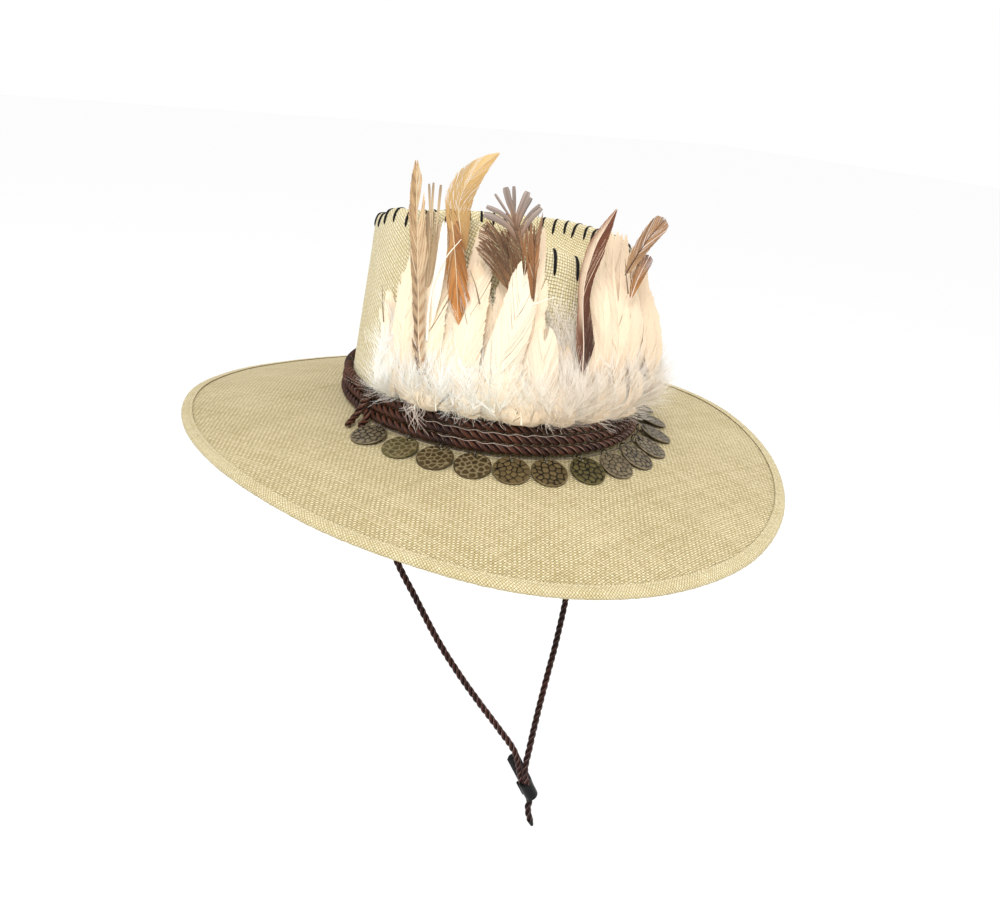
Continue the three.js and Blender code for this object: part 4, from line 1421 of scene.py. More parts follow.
for number, (turn, look) in enumerate(zip(coin_turns, coin_looks), start=1):
    centre, downhill, sideways, off_face = coin_place(turn)
    points, quads, colours = pressed_disc(*look)
    placed = centre + points[:, :1] * downhill + points[:, 1:2] * sideways + points[:, 2:] * off_face
    coin_mesh = make_mesh(f"coin_{number:02d}_disc", placed, quads, values={"tint": colours})
    add_piece(f"disc_{number:02d}", coin_mesh, coin_metal, "coin_metal", f"coin_{number:02d}")
    jump_ring = ring_mesh(f"jump_ring_{number:02d}", turn)
    add_piece(f"jump_ring_{number:02d}", jump_ring, ring_metal, "ring_metal", f"coin_ring_{number:02d}")

# %% Thread under the lower cord
hanging_colour = (0.10, 0.04, 0.035, 1)
hanging_thread = plain_finish("hanging_thread", 0.7, Base_Color=hanging_colour, Sheen_Weight=0.3)
thread_lay = 0.0022
thread_turns = np.linspace(-78.5, 78, 200)
thread_out, thread_height = ring_centre(thread_turns)
thread_route = beside_crown(thread_turns, thread_out - thread_inset, thread_height)
thread_mesh = cord_mesh("coin_thread_line", thread_route, thread_radius, thread_lay, 6, first=upward)
add_piece("coin_thread_line", thread_mesh, hanging_thread, "thread", "coin_thread")

# %% [markdown]
# ## Feathers
# A feather is a quill with two rows of barbs, and each barb is a fine flat ribbon. Near the tip
# the barbs hook into each other and make a smooth vane, and towards the foot they come loose and
# turn to down. Hair particles would give fluff but no vane, and a textured card would give
# a vane but no edge. So each feather is built as it grows: ribbons leave the quill at an angle,
# bend towards the tip, lie a little over their neighbours, and part into clumps here and there.

# %% Directions along a quill
feather_rows = 70


def profile_width(profile, share):
    shares, widths = zip(*profile)
    return np.interp(share, shares, widths)


def quill_frames(control, twist):
    """Even points on the quill and the directions along, across and off the vane's face."""
    turns, outs, heights = (np.array(column, dtype=float) for column in zip(*control))
    line = smooth_line(wall_point(turns, heights, outs), 16)
    line = evenly(line, feather_rows)
    along = unit(np.gradient(line, axis=0))
    middle_turn = float(turns.mean())
    away = outward(np.array(middle_turn))
    face = unit(away - along * (along @ away)[:, None])
    across = np.cross(face, along)
    cosine, sine = np.cos(np.radians(twist)), np.sin(np.radians(twist))
    face, across = face * cosine + across * sine, across * cosine - face * sine
    return line, along, across, face


def at_share(rows, share):
    place = np.clip(share, 0, 1) * (len(rows) - 1)
    low = np.minimum(place.astype(int), len(rows) - 2)
    part = (place - low)[..., None]
    return rows[low] * (1 - part) + rows[low + 1] * part


print("a quill has", feather_rows, "places")


# %% Ribbons that end side by side
def ribbons(centres, sideways, widths):
    """Flat ribbons from centre lines, a sideways direction and half widths at each point."""
    count, steps = centres.shape[:2]
    left = centres - sideways * widths[..., None]
    right = centres + sideways * widths[..., None]
    points = np.stack([left, right], axis=2).reshape(-1, 3)
    one = grid_quads(steps, 2)
    quads = (one[None] + np.arange(count)[:, None, None] * steps * 2).reshape(-1, 4)
    return points, quads


def tip_places(width, start, end, count, profile, base_angle, tip_angle, whole):
    """Where the barbs end along the quill, so that they lie side by side at an even width."""
    share = np.linspace(start, end, 400)
    slope = np.radians(blend(base_angle, tip_angle, (share - start) / (end - start)))[1:]
    outline = width * profile_width(profile, share)
    beside = np.diff(share) * whole * np.sin(slope) - np.diff(outline) * np.cos(slope)
    ridge_light = np.concatenate([[0], np.cumsum(np.maximum(beside, 1e-7))])
    tips = np.interp(np.linspace(0, ridge_light[-1], count), ridge_light, share)
    return tips, ridge_light[-1] / count


leaf_profile = [
    (0, 0.15), (0.12, 0.6), (0.3, 0.94), (0.5, 1.0), (0.72, 0.9), (0.88, 0.66), (0.96, 0.42), (1, 0.16),
]
print("a leaf is widest half way up:", profile_width(leaf_profile, 0.5), "of its width")

# %% [markdown]
# The vane is worked out from its outline inwards: first where the barbs end, then how far back
# each one leaves the quill, given its angle and its bend. A few clumps are turned away from their
# neighbours, which parts the vane as in a real feather that has been handled.

# %% One side of a vane
barb_points = 4
parted_share = 0.15
whole_share = 0.12
bend = 0.35
barb_overlap = 1.7
print("barbs lie", round((barb_overlap - 1) * 100), "% over one another")


def vane(frames, side, width, start, end, count, profile, base_angle, tip_angle, cup, clump, split,
         colour):
    """One side of the vane, with a colour for each of its points."""
    line, along, across, face = frames
    whole = line_length(line)
    tips, barb_width = tip_places(width, start, end, count, profile, base_angle, tip_angle, whole)
    straight = np.radians(blend(base_angle, tip_angle, (tips - start) / (end - start)))
    extent = width * profile_width(profile, tips) * (1 + rng.normal(0, 0.03, count))
    reach = extent * (1 / np.tan(straight) + bend / 2) / (1 - bend / 2)
    reach = np.minimum(reach, (tips - start) * whole)
    feet = tips - reach / whole
    groups = (np.arange(count) / clump).astype(int)
    apart = np.radians(rng.normal(0, split, groups.max() + 1))
    apart *= np.where(rng.uniform(size=len(apart)) < parted_share, 1.0, whole_share)
    apart = apart[groups] + np.radians(rng.normal(0, split * 0.06, count))
    u = np.linspace(0, 1, barb_points)[None]
    outward_part = (extent + reach * apart)[:, None] * (u - bend * u**2 / 2) / (1 - bend / 2)
    ahead_part = (reach - extent * apart)[:, None] * (u * (1 - bend / 2) + bend * u**2 / 2)
    places = feet[:, None] + ahead_part / whole
    base, out, off = (at_share(rows, places) for rows in (line, across, face))
    out = out * side
    lift = (np.abs(apart)[:, None] * 0.7 + rng.normal(0, 0.01, (count, 1))) * u - cup * u**2
    centres = base + out * outward_part[..., None] + off * (extent[:, None] * lift)[..., None]
    overrun = np.clip(places - 1, 0, None) * whole
    centres += along[-1] * overrun[..., None]
    forward = unit(np.gradient(centres, axis=1))
    sideways = unit(np.cross(forward, off))
    sideways = unit(sideways + off * rng.normal(0.0, 0.08, (count, 1, 1)))
    half = barb_width * barb_overlap / 2 * (1 - 0.25 * u**2) * np.ones((count, 1))
    points, quads = ribbons(centres, sideways, half)
    tints = colour(places.ravel(), np.tile(u[0], count), np.repeat(groups, barb_points))
    return points, quads, np.repeat(tints, 2, axis=0)


# %% [markdown]
# Down has no outline to fill. Each fibre leaves the quill its own way, waves as it goes and bends
# back towards the tip, with its flat side turned off the wall.

# %% Loose down and the quill
fibre_points = 5
fibre_half_width = 0.0001
fibre_waves = (5.5, 4.5)
fibre_bend = 0.35
quill_stride = 3
quill_sides = 5
print("a fibre of down is", 2 * fibre_half_width, "m wide")


def down(frames, start, end, count, length, spread, colour):
    """Loose curly fibres from a stretch of the quill, their flat sides turned off the wall."""
    line, along, across, face = frames
    share = rng.uniform(start, end, count)
    base, ahead, out, off = (at_share(rows, share) for rows in (line, along, across, face))
    side = np.sign(rng.normal(size=count))[:, None]
    lean = rng.uniform(0.25, 1.0, (count, 1)) * spread
    way = unit(ahead + out * side * lean + off * rng.normal(0.1, 0.35, (count, 1)) * spread)
    first = unit(np.cross(way, rng.normal(size=(count, 3))))
    second = np.cross(way, first)
    u = np.linspace(0, 1, fibre_points)[None, :, None]
    reach = length * rng.uniform(0.55, 1.1, (count, 1, 1))
    phase = rng.uniform(0, 6.28, (count, 2, 1, 1))
    wave = rng.uniform(0.03, 0.09, (count, 1, 1))
    centres = base[:, None] + reach * (
        way[:, None] * u
        + ahead[:, None] * fibre_bend * u**2
        + first[:, None] * wave * np.sin(fibre_waves[0] * u + phase[:, 0]) * u
        + second[:, None] * wave * np.sin(fibre_waves[1] * u + phase[:, 1]) * u
    )
    forward = unit(np.gradient(centres, axis=1))
    facing = unit(off + rng.normal(0, 0.25, (count, 3)))
    sideways = unit(np.cross(forward, facing[:, None]))
    half = fibre_half_width * (1 - 0.6 * u[..., 0]) * np.ones((count, 1))
    points, quads = ribbons(centres, sideways, half)
    fibre = np.repeat(np.arange(count), fibre_points)
    tints = colour(np.repeat(share, fibre_points), np.tile(u[0, :, 0], count), fibre)
    return points, quads, np.repeat(tints, 2, axis=0)


def quill(frames, radius, colour):
    line, face = frames[0][::quill_stride], frames[3][::quill_stride]
    share = np.linspace(0, 1, len(line))
    points, quads = tube(line + face * radius * 0.3, radius * (1 - 0.75 * share), quill_sides)
    tint = np.tile(np.array(colour, dtype=float), (len(points), 1))
    return points, quads, tint


def join_tinted(parts):
    points, quads = join_parts([part[:2] for part in parts])
    return points, quads, np.concatenate([part[2] for part in parts])


# %% [markdown]
# The colours of a feather change along it and across it, and each small clump of barbs is a shade
# of its own. A short list of colour stops from foot to tip says the first, and the noise is added.

# %% Colour along a feather
def stops(rows, noise=0.06, edge=None):
    places = [row[0] for row in rows]
    colours = np.array([row[1] for row in rows], dtype=float)

    def colour(share, across, group):
        mixed = np.stack([np.interp(share, places, colours[:, k]) for k in range(3)], axis=1)
        if edge is not None:
            mixed = blend(mixed, np.array(edge), (across**2)[:, None])
        shades = rng.normal(1, noise, int(group.max()) + 1)[group.astype(int)]
        return np.clip(mixed * shades[:, None], 0.005, 0.97)

    return colour


cream = (0.85, 0.70, 0.51)
warm_cream = (0.83, 0.65, 0.44)
white_down = (0.978, 0.935, 0.85)
pale_cream = (0.89, 0.78, 0.62)
pale_quill = (0.93, 0.84, 0.66)
print("cream:", cream, "white:", white_down)

# %% [markdown]
# ## Plume of cream hackles
# Cream hackles stand on a sewn strip behind the cords: tall ones behind and short ones in front,
# in sixteen locks that swell out from the wall. The locks are the same list that shapes the plain
# solid. A few single feathers stand higher than their lock, and broad short ones close the foot,
# so that no cloth shows between the quills.

# %% Locks of the plume: turn, turn and height of the tip, swell, distance of the tip, width
cream_locks = [
    (-77.5, -83, 0.082, 0.007, 0.004, 0.016), (-71, -76, 0.104, 0.009, 0.005, 0.024),
    (-62, -65, 0.098, 0.011, 0.006, 0.026), (-52, -58, 0.118, 0.012, 0.007, 0.022),
    (-42, -48, 0.108, 0.013, 0.008, 0.026), (-31, -28, 0.112, 0.014, 0.009, 0.022),
    (-21, -24, 0.096, 0.013, 0.008, 0.024), (-11, -13, 0.074, 0.012, 0.007, 0.026),
    (0, 3, 0.086, 0.013, 0.008, 0.024), (10, 12, 0.102, 0.014, 0.009, 0.024),
    (20, 23, 0.112, 0.015, 0.010, 0.024), (31, 33, 0.110, 0.015, 0.010, 0.026),
    (42, 45, 0.100, 0.015, 0.009, 0.026), (53, 56, 0.092, 0.014, 0.008, 0.026),
    (64, 67, 0.082, 0.012, 0.006, 0.026), (75, 78, 0.066, 0.009, 0.004, 0.024),
]
single_hackles = [
    (-67, -71.0, 0.124, 0.0095), (-58, -60.5, 0.126, 0.010), (-46, -44, 0.127, 0.011),
    (-24, -23, 0.130, 0.006), (-1, -0.5, 0.119, 0.006), (3, 4, 0.127, 0.008),
    (10, 11, 0.129, 0.010), (15, 17, 0.127, 0.010), (20, 23, 0.120, 0.011),
    (27, 30, 0.117, 0.011), (34, 37, 0.113, 0.011),
]
hackles_per_lock = 6
print(len(cream_locks), "locks of", hackles_per_lock, "hackles, and", len(single_hackles), "single ones")

# %% One cream feather
swell_end = 0.8
hackle_quill = 0.00042
cream_vane = {
    "end": 0.995, "count": 62, "profile": leaf_profile, "base_angle": 42, "tip_angle": 20,
    "cup": 0.2, "clump": 9, "split": 5.0,
}
print("a cream feather has", 2 * cream_vane["count"], "barbs")


def lock_quill(turn, tip_turn, tip_height, swell, tip_out, foot=0.016):
    rows = []
    for part in (0, 0.2, 0.4, 0.6, 0.8, 1.0):
        bulge = swell * math.sin(math.pi * min(1, part / swell_end))
        out = clearance + strip_thickness / 2 + bulge + tip_out * part
        rows.append((blend(turn, tip_turn, part**2), out, blend(foot, tip_height, part)))
    return rows


def cream_feather(control, half, start, twist):
    frames = quill_frames(control, twist)
    top = warm_cream if rng.uniform() < 0.35 else cream
    tone = stops([(0, pale_cream), (0.35, cream), (1, top)], 0.02)
    sides = [
        vane(frames, side, half * rng.uniform(0.85, 1.1), start, colour=tone, **cream_vane)
        for side in (-1, 1)
    ]
    return frames, [*sides, quill(frames, hackle_quill, pale_quill)]


# %% Painted shade from one side of the hat to the other
side_places = (-0.072, -0.020, 0.050)
painted_side_factors = ((1.07, 1.09, 1.11), (0.985, 0.945, 0.92), (0.89, 0.86, 0.84))


def painted_side_light(points, tints):
    """Painted light across the plume: feathers are made whiter at the wearer's right and darker and warmer
    at the left.
    """
    shade = [np.interp(points[:, 0], side_places, [row[k] for row in painted_side_factors]) for k in range(3)]
    return np.clip(tints * np.stack(shade, axis=1), 0.005, 0.98)


def feather_piece(name, parts, slot, finish, with_painted_side_light, *nodes):
    """One piece from feathers, with their colours as point data."""
    points, quads, tints = join_tinted(parts)
    # Painted light across the plume, for the pieces that take it.
    tints = painted_side_light(points, tints) if with_painted_side_light else tints
    add_piece(name, make_mesh(name, points, quads, values={"tint": tints}), finish, slot, *nodes)


print("shade at the wearer's right, middle and left:", painted_side_factors)

# %% Cream hackles
feather_cream = tinted_finish("cream_feather", 0.6, Sheen_Weight=0.25, Specular_IOR_Level=0.2)[0]
white_tone = stops([(0, white_down), (1, white_down)], 0.02)
hackles = []
loose = []
for turn, tip_turn, tip_height, swell, tip_out, width in cream_locks:
    for layer in range(hackles_per_lock):
        depth = layer / (hackles_per_lock - 1)
        height = tip_height * blend(1.0, 0.62, depth) * rng.uniform(0.94, 1.0)
        control = lock_quill(
            turn + rng.normal(0, 2.4), tip_turn + rng.normal(0, 2.6), height,
            swell * blend(0.45, 1.0, depth) * rng.uniform(0.85, 1.0), tip_out * rng.uniform(0.6, 1.0),
        )
        half = width * 0.5 * rng.uniform(0.62, 0.9)
        frames, parts = cream_feather(control, half, 0.16, rng.normal(0, 9))
        hackles += parts
        loose.append(down(frames, 0.08, 0.5, count=44, length=0.016, spread=1.1, colour=white_tone))
for turn, tip_turn, tip_height, half in single_hackles:
    control = lock_quill(turn, tip_turn, tip_height, 0.011, 0.006)
    hackles += cream_feather(control, half, 0.2, max(0, turn) * 1.2 + rng.normal(0, 6))[1]

feather_piece("cream_hackles", hackles, "feather_cream", feather_cream, True, "feather_plume")

# %% Broad short feathers at the foot
short_count = 84
short = []
for k in range(short_count):
    turn = blend(-76, 80, (k + rng.uniform(0, 1)) / short_count)
    top = rng.uniform(0.042, 0.074) * (1 - 0.12 * abs(turn) / 90)
    control = lock_quill(turn, turn + rng.normal(0, 4), top, rng.uniform(0.006, 0.0135), 0.004)
    short += cream_feather(control, rng.uniform(0.009, 0.0125), 0.2, rng.normal(0, 8))[1]
feather_piece("short_feathers", short, "feather_cream", feather_cream, True)

# %% [markdown]
# ## Down at the foot
# Over the lower half of the plume lies marabou: soft white plumes whose barbs never hook
# together. They hide the quills and give the plume its cloudy edge. At the wearer's right a tuft
# of curly barbs has slipped over the cords.

# %% Marabou plumes
plume_count = 196
for _ in range(plume_count):
    turn = rng.uniform(-77.5, 82)
    top = rng.uniform(0.042, 0.084) * (1 - 0.15 * abs(turn) / 90)
    swell = rng.uniform(0.009, 0.0175)
    control = lock_quill(turn, turn + rng.normal(0, 4), top, swell, rng.uniform(0.001, 0.006), foot=0.019)
    frames = quill_frames(control, rng.normal(0, 30))
    loose.append(down(frames, 0.1, 1.0, count=100, length=0.0165, spread=1.0, colour=white_tone))
feather_piece("white_down", loose, "feather_cream", feather_cream, True)

# %% Curly barbs over the cords
curly_count = 26
curly_radius = 0.0002
curly_tone = (0.80, 0.68, 0.60)
curls = []
for _ in range(curly_count):
    turn = rng.uniform(-65, -59.5)
    fall = rng.uniform(0.006, 0.018)
    share = np.linspace(0, 1, 16)
    swing = rng.uniform(1, 3) * rng.choice([-1, 1])
    turns = turn + swing * np.sin(share * rng.uniform(2, 5)) + rng.normal(0, 1.6) * share
    heights = 0.0225 - fall * share**1.3
    outs = band_out(turn) + 0.0034 + 0.0026 * np.sin(math.pi * share) * rng.uniform(0.4, 1.2)
    size = curly_radius * (1 - 0.5 * share)
    strand, quads = tube(wall_point(turns, heights, outs), size, quill_sides)
    curls.append((strand, quads, np.tile(curly_tone, (len(strand), 1)) * rng.uniform(0.75, 1.15)))
feather_piece("curly_barbs", curls, "feather_cream", feather_cream, False)

# %% [markdown]
# ## Coloured feathers
# Coloured feathers stand above the cream. From the wearer's right: a narrow striped tan one with
# a spiky one beside it, a gold one that bends over, an orange one that hangs point down, a
# grey-brown fan of long parted barbs with bronze lobes below it, a thin crescent that is cream on
# one side and chestnut on the other, and two square brushes. Each has its own route, written as
# turn, distance off the wall and height. Where barbs part, each clump is a narrow blade.

# %% Colours and profiles of the accents
tan, gold, orange = (0.50, 0.31, 0.14), (0.60, 0.38, 0.145), (0.36, 0.135, 0.027)
chestnut, deep_brown = (0.13, 0.037, 0.013), (0.060, 0.021, 0.010)
grey_brown, bronze = (0.225, 0.165, 0.135), (0.125, 0.062, 0.028)
pale_tan = (0.74, 0.58, 0.38)
striped_profile = [(0, 0.5), (0.3, 0.7), (0.6, 1), (0.8, 0.95), (0.93, 0.6), (1, 0.1)]
brush_profile = [(0, 0.2), (0.3, 0.7), (0.6, 0.92), (0.86, 1), (0.95, 0.86), (1, 0.05)]
gold_profile = [(0, 0.3), (0.25, 0.85), (0.45, 1), (0.65, 0.9), (0.8, 0.62), (0.92, 0.3), (1, 0.03)]
hanging_profile = [(0, 0.45), (0.25, 0.7), (0.55, 1), (0.75, 0.9), (0.9, 0.5), (1, 0.04)]
lobe_profile = [(0, 0.2), (0.3, 0.6), (0.6, 1), (0.9, 1), (1, 0.8)]
blade_profile = [(0, 0.3), (0.3, 0.75), (0.6, 0.95), (0.9, 1), (1, 0.75)]
crescent_profile = [
    (0, 0.1), (0.08, 0.45), (0.2, 1), (0.32, 0.85), (0.45, 0.6), (0.6, 0.8), (0.75, 1), (0.88, 0.6),
    (1, 0.05),
]
print("profiles reach from foot to tip in", len(striped_profile), "to", len(crescent_profile), "steps")

# %% Feathers and blades from a route
vane_start, vane_end, vane_cup = 0.03, 0.995, 0.12
coloured_quill = 0.0004
blade_width = 0.85
blade_columns = np.array([-1.0, -0.5, 0.0, 0.5, 1.0])
print("a blade has", feather_rows * len(blade_columns), "points")


def coloured_feather(control, halves, tones, profile, angles, clump, split, count=110,
                     quill_colour=bronze, twist=0):
    """Both sides and the quill of a feather. Halves and tones are for its left and right side."""
    frames = quill_frames(control, twist)
    made = [
        vane(frames, side, half, vane_start, vane_end, count, profile, *angles, vane_cup, clump, split, tone)
        for side, half, tone in zip((1, -1), halves, tones)
    ]
    return [*made, quill(frames, coloured_quill, quill_colour)]


def blade(control, half, tone):
    """Narrow clump of barbs that lie together, as one strip with a raised middle."""
    line, along, across, face = quill_frames(control, 0)
    share = np.linspace(0, 1, len(line))
    width = half * blade_width * profile_width(blade_profile, share)
    points = line[:, None] + across[:, None] * (width[:, None] * blade_columns)[..., None]
    points += face[:, None] * (width[:, None] * (1 - blade_columns**2) * 0.5)[..., None]
    columns = len(blade_columns)
    count = len(line) * columns
    tints = tone(np.repeat(share, columns), np.zeros(count), np.arange(count) % columns)
    return points.reshape(-1, 3), grid_quads(len(line), columns), tints


def blades(rows, tone):
    return [blade(control, half, tone) for half, control in rows]


def striped_tone(low, high, stripe, pitch):
    """Colours from foot to tip with dark stripes that slant across the vane."""
    def colour(share, across, group):
        mixed = blend(np.array(low), np.array(high), share[:, None])
        wave = np.sin(2 * math.pi * (share * pitch - across * 0.7))
        dark = smooth_step(wave, 0.1, 0.8) * (1 - 0.55 * share)
        shades = rng.normal(1, 0.08, int(group.max()) + 1)[group.astype(int)]
        return np.clip(blend(mixed, np.array(stripe), dark[:, None]) * shades[:, None], 0.005, 0.97)

    return colour


# %% Tones of the striped, spiky, gold and orange feathers
stripes = 16
striped_left = striped_tone((0.36, 0.26, 0.17), tan, (0.09, 0.04, 0.02), stripes)
striped_right = striped_tone((0.58, 0.45, 0.30), (0.60, 0.44, 0.25), (0.30, 0.12, 0.04), stripes)
print("the tan feather has", stripes, "stripes")
golden = stops([(0, (0.38, 0.20, 0.07)), (0.35, (0.50, 0.30, 0.11)), (0.7, gold), (1, gold)], 0.05)
golden_edge = stops([(0, (0.42, 0.22, 0.08)), (0.5, gold), (1, (0.68, 0.48, 0.22))], 0.05)
orange_tone = stops(
    [(0, (0.36, 0.19, 0.08)), (0.35, (0.28, 0.11, 0.03)), (0.7, orange), (1, (0.42, 0.16, 0.035))], 0.22
)
orange_pale = stops(
    [(0, (0.44, 0.26, 0.12)), (0.5, (0.38, 0.17, 0.05)), (0.8, orange), (1, (0.50, 0.24, 0.08))], 0.24
)
tan_spike = stops([(0, (0.60, 0.46, 0.29)), (0.6, (0.50, 0.36, 0.21)), (1, (0.30, 0.21, 0.13))], 0.06)

# %% Striped, spiky, gold and orange feathers
spikes = [
    (0.0010, [(-62.8, 0.012, 0.122), (-63.9, 0.013, 0.136), (-64.6, 0.014, 0.1455)]),
    (0.0010, [(-62.2, 0.012, 0.122), (-62.8, 0.013, 0.135), (-62.9, 0.014, 0.1465)]),
    (0.0011, [(-60.5, 0.012, 0.120), (-60.2, 0.013, 0.132), (-60.0, 0.014, 0.146)]),
]
coloured = [
    *coloured_feather(
        [(-58.5, 0.0150, 0.038), (-59.5, 0.0180, 0.053), (-60.6, 0.019, 0.068), (-61.6, 0.019, 0.082),
         (-63.7, 0.018, 0.102), (-65.1, 0.018, 0.117), (-66.7, 0.018, 0.133), (-68.4, 0.0175, 0.147),
         (-69.6, 0.017, 0.1575)],
        (0.0044, 0.0048), (striped_left, striped_right), striped_profile, (24, 12), 6, 4,
        quill_colour=pale_tan, twist=-22),
    *coloured_feather(
        [(-62.2, 0.010, 0.085), (-62.6, 0.010, 0.103), (-63.1, 0.011, 0.118), (-63.4, 0.012, 0.132)],
        (0.0040, 0.0046), (tan_spike, tan_spike), brush_profile, (16, 9), 12, 3,
        quill_colour=pale_tan),
    *blades(spikes, tan_spike),
    *coloured_feather(
        [(-49.5, 0.013, 0.112), (-51.3, 0.0145, 0.125), (-52.2, 0.016, 0.1372), (-50.4, 0.018, 0.147),
         (-46.8, 0.020, 0.156), (-43.5, 0.021, 0.162), (-40.0, 0.022, 0.167)],
        (0.0080, 0.0066), (golden_edge, golden), gold_profile, (28, 15), 40, 1.0, count=170,
        quill_colour=pale_tan, twist=-12),
    *coloured_feather(
        [(-55.8, 0.0150, 0.136), (-53.5, 0.0155, 0.124), (-51.6, 0.0150, 0.108), (-50.2, 0.0140, 0.092),
         (-48.9, 0.0120, 0.0725)],
        (0.0062, 0.0062), (orange_tone, orange_pale), hanging_profile, (26, 16), 7, 5,
        quill_colour=pale_tan),
]
print(len(coloured), "parts at the wearer's right")

# %% Fan of parted barbs and its lobes
fan_tone = stops([(0, bronze), (0.3, (0.24, 0.15, 0.10)), (0.55, grey_brown), (1, (0.26, 0.21, 0.18))], 0.22)
bronze_tone = stops([(0, (0.24, 0.12, 0.05)), (0.5, bronze), (1, (0.20, 0.10, 0.05))], 0.24)
orange_lobe = stops([(0, (0.20, 0.08, 0.025)), (0.5, (0.28, 0.12, 0.04)), (1, (0.22, 0.13, 0.08))], 0.14)
fan = [
    (0.0016, [(-32.0, 0.018, 0.124), (-34.4, 0.019, 0.1318), (-38.3, 0.020, 0.1365), (-42.6, 0.021, 0.139)]),
    (0.0022, [(-32.2, 0.018, 0.122), (-34.8, 0.0195, 0.129), (-38.8, 0.020, 0.133), (-43.2, 0.021, 0.135)]),
    (0.0009, [(-33.2, 0.019, 0.130), (-35.2, 0.0195, 0.135), (-37.6, 0.020, 0.140), (-40.4, 0.021, 0.146)]),
    (0.0022, [(-33.6, 0.019, 0.131), (-34.3, 0.020, 0.137), (-35.9, 0.0205, 0.143), (-37.4, 0.021, 0.150)]),
    (0.0012, [(-33.3, 0.019, 0.128), (-33.9, 0.0195, 0.135), (-34.3, 0.020, 0.143), (-34.9, 0.021, 0.151)]),
    (0.0022, [(-32.9, 0.019, 0.129), (-32.6, 0.020, 0.1365), (-31.6, 0.0205, 0.1425),
              (-30.4, 0.021, 0.149)]),
    (0.0014, [(-32.6, 0.019, 0.128), (-31.9, 0.0195, 0.1345), (-30.8, 0.020, 0.140), (-29.2, 0.021, 0.146)]),
    (0.0010, [(-32.0, 0.018, 0.126), (-30.9, 0.019, 0.1322), (-29.0, 0.020, 0.138), (-26.3, 0.021, 0.143)]),
    (0.0017, [(-31.6, 0.018, 0.123), (-30.2, 0.019, 0.130), (-28.2, 0.020, 0.136), (-25.6, 0.020, 0.1412)]),
]
coloured += [
    *coloured_feather(
        [(-28.8, 0.015, 0.104), (-30.2, 0.016, 0.115), (-31.9, 0.018, 0.124), (-33.2, 0.019, 0.131)],
        (0.0095, 0.0100), (bronze_tone, orange_lobe), brush_profile, (34, 22), 7, 6),
    *blades(fan, fan_tone),
    *coloured_feather(
        [(-32.2, 0.015, 0.098), (-34.6, 0.017, 0.109), (-37.4, 0.019, 0.118), (-41.0, 0.021, 0.1255),
         (-43.8, 0.022, 0.128)],
        (0.0072, 0.0060), (bronze_tone, bronze_tone), brush_profile, (24, 14), 5, 7),
    *coloured_feather(
        [(-33.6, 0.014, 0.096), (-37.0, 0.016, 0.107), (-40.2, 0.018, 0.1145), (-43.6, 0.020, 0.120)],
        (0.0050, 0.0050), (bronze_tone, bronze_tone), brush_profile, (22, 12), 4, 8),
    *coloured_feather(
        [(-25.6, 0.0195, 0.092), (-26.2, 0.0195, 0.108), (-26.6, 0.0195, 0.1215),
         (-26.5, 0.0195, 0.132), (-26.3, 0.020, 0.1395)],
        (0.0052, 0.0026), (orange_lobe, orange_lobe), lobe_profile, (24, 14), 9, 4),
]
print(len(coloured), "parts with the fan of", len(fan), "blades")

# %% Crescent and brushes
crescent_dark = stops(
    [(0, (0.16, 0.07, 0.04)), (0.15, deep_brown), (0.5, (0.10, 0.03, 0.011)), (1, chestnut)], 0.12
)
crescent_pale = stops([
    (0, (0.12, 0.045, 0.025)), (0.26, (0.13, 0.045, 0.02)), (0.38, (0.62, 0.46, 0.32)),
    (0.8, (0.78, 0.62, 0.44)), (1, (0.30, 0.14, 0.07)),
], 0.06, edge=(0.26, 0.11, 0.06))
tan_brush = stops([(0, (0.34, 0.20, 0.10)), (0.5, (0.30, 0.155, 0.065)), (1, (0.27, 0.14, 0.06))], 0.16)
second_brush = stops([(0, (0.36, 0.16, 0.04)), (0.5, (0.28, 0.12, 0.04)), (1, (0.20, 0.11, 0.08))], 0.2)
coloured += [
    *coloured_feather(
        [(-6.0, 0.015, 0.049), (-6.4, 0.016, 0.0655), (-7.4, 0.0165, 0.0795), (-8.3, 0.017, 0.0934),
         (-8.2, 0.0175, 0.1043), (-6.9, 0.018, 0.1141), (-5.0, 0.019, 0.1245), (-2.3, 0.021, 0.134),
         (1.2, 0.022, 0.1435)],
        (0.0042, 0.0060), (crescent_pale, crescent_dark), crescent_profile, (20, 11), 40, 1.0,
        count=140, quill_colour=(0.80, 0.66, 0.52), twist=24),
    *coloured_feather(
        [(10.5, 0.016, 0.106), (13.0, 0.018, 0.1134), (15.7, 0.020, 0.1205), (19.0, 0.0225, 0.128),
         (22.5, 0.025, 0.134), (25.3, 0.026, 0.1378)],
        (0.0054, 0.0050), (tan_brush, tan_brush), brush_profile, (24, 17), 6, 2,
        quill_colour=deep_brown, twist=44),
    *coloured_feather(
        [(14.3, 0.016, 0.092), (15.5, 0.018, 0.1014), (17.6, 0.020, 0.110), (19.8, 0.022, 0.1172)],
        (0.0040, 0.0036), (second_brush, second_brush), brush_profile, (22, 15), 5, 3,
        quill_colour=(0.75, 0.6, 0.5), twist=44),
]
feather_brown = tinted_finish("brown_feather", 0.5, Sheen_Weight=0.15, Specular_IOR_Level=0.3)[0]
feather_piece("coloured_feathers", coloured, "feather_brown", feather_brown, False)

# %% [markdown]
# In front of them all stand two broad cream leaves, a narrow white one and a few bare quills, white
# ones and thin dark ones. They are the lines that the eye follows down into the down.

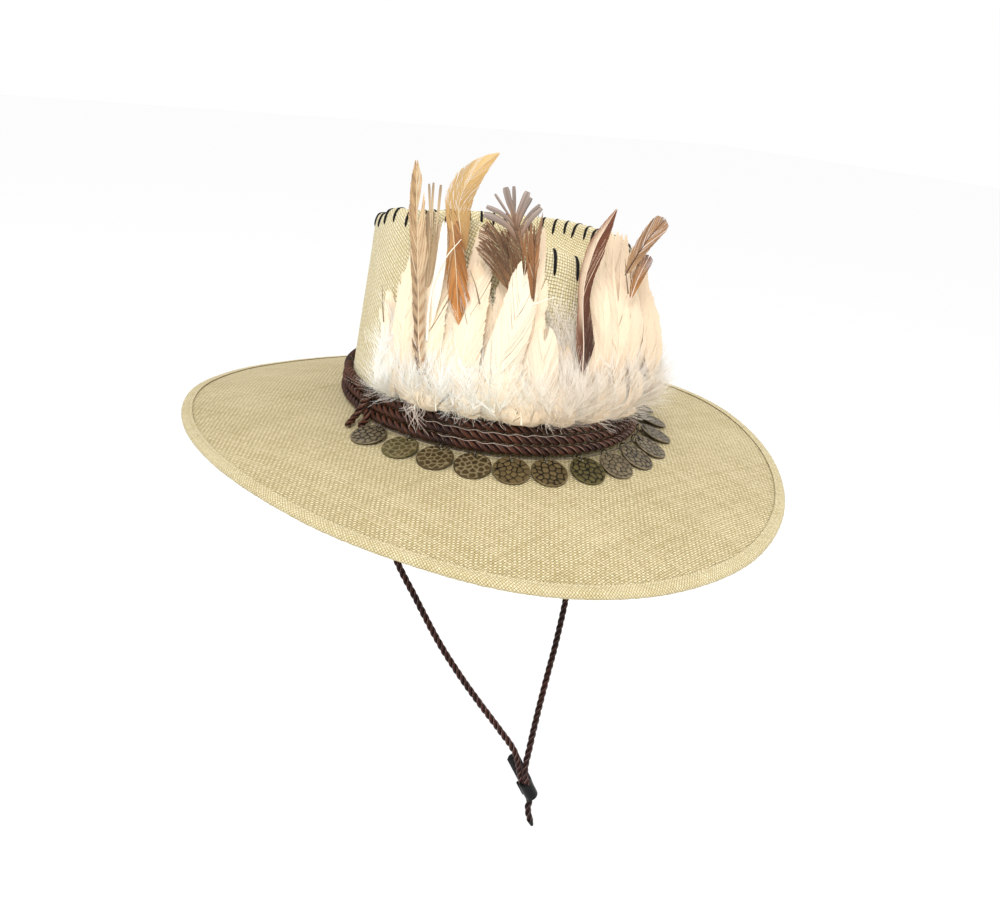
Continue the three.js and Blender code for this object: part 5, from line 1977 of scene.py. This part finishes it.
# %% Leaves and bare quills in front
plain_cream = stops([(0, pale_cream), (1, (0.88, 0.75, 0.57))], 0.015)
plain_white = stops([(0, pale_cream), (1, (0.86, 0.80, 0.74))], 0.015)
broad_profile = [
    (0, 0.05), (0.12, 0.4), (0.3, 0.85), (0.5, 1), (0.75, 0.86), (0.9, 0.64), (0.97, 0.4), (1, 0.2),
]
front_leaves = [
    *coloured_feather(
        [(-38.5, 0.006, 0.024), (-35.6, 0.013, 0.045), (-32.4, 0.017, 0.066), (-30.2, 0.019, 0.085),
         (-29.2, 0.0185, 0.100), (-28.9, 0.018, 0.113)],
        (0.0105, 0.0105), (plain_cream, plain_cream), broad_profile, (34, 18), 60, 0.8, count=160,
        quill_colour=pale_quill),
    *coloured_feather(
        [(-20.5, 0.006, 0.027), (-20.8, 0.014, 0.042), (-20.6, 0.016, 0.060), (-20.2, 0.015, 0.078)],
        (0.0100, 0.0100), (plain_cream, plain_cream), broad_profile, (34, 18), 60, 0.8, count=160,
        quill_colour=pale_quill),
    *coloured_feather(
        [(-57.2, 0.0150, 0.070), (-56.8, 0.0160, 0.090), (-56.3, 0.0165, 0.108),
         (-56.4, 0.0165, 0.128)],
        (0.0030, 0.0034), (plain_white, plain_white), broad_profile, (22, 12), 60, 0.8,
        quill_colour=pale_quill),
]
white_quill, dark_quill = (0.95, 0.88, 0.74), (0.20, 0.14, 0.08)
bare_quills = [
    ([(-58.3, 0.015, 0.0614), (-58.4, 0.0165, 0.080), (-57.4, 0.0175, 0.095), (-54.1, 0.018, 0.109),
      (-49.7, 0.0185, 0.120)], 0.00080, white_quill),
    ([(-53.0, 0.0135, 0.0226), (-53.9, 0.0145, 0.0368)], 0.00055, white_quill),
    ([(-25.5, 0.0135, 0.0217), (-27.3, 0.017, 0.0423)], 0.00070, white_quill),
    ([(-60.7, 0.0125, 0.0197), (-60.6, 0.0125, 0.030)], 0.00050, white_quill),
    ([(-25.9, 0.019, 0.0899), (-22.0, 0.020, 0.0932), (-18.8, 0.021, 0.0954)], 0.00045, white_quill),
    ([(-79.0, 0.0105, 0.063), (-81.2, 0.0105, 0.075), (-81.9, 0.011, 0.0836)], 0.00045, dark_quill),
    ([(-41.9, 0.018, 0.087), (-43.7, 0.0185, 0.0965), (-46.1, 0.0185, 0.105)], 0.00050, dark_quill),
    ([(10.8, 0.0185, 0.0962), (8.9, 0.019, 0.1065), (7.5, 0.0195, 0.116)], 0.00050, dark_quill),
]
front_leaves += [quill(quill_frames(rows, 0), radius, colour) for rows, radius, colour in bare_quills]
feather_piece("front_leaves", front_leaves, "feather_cream", feather_cream, True)
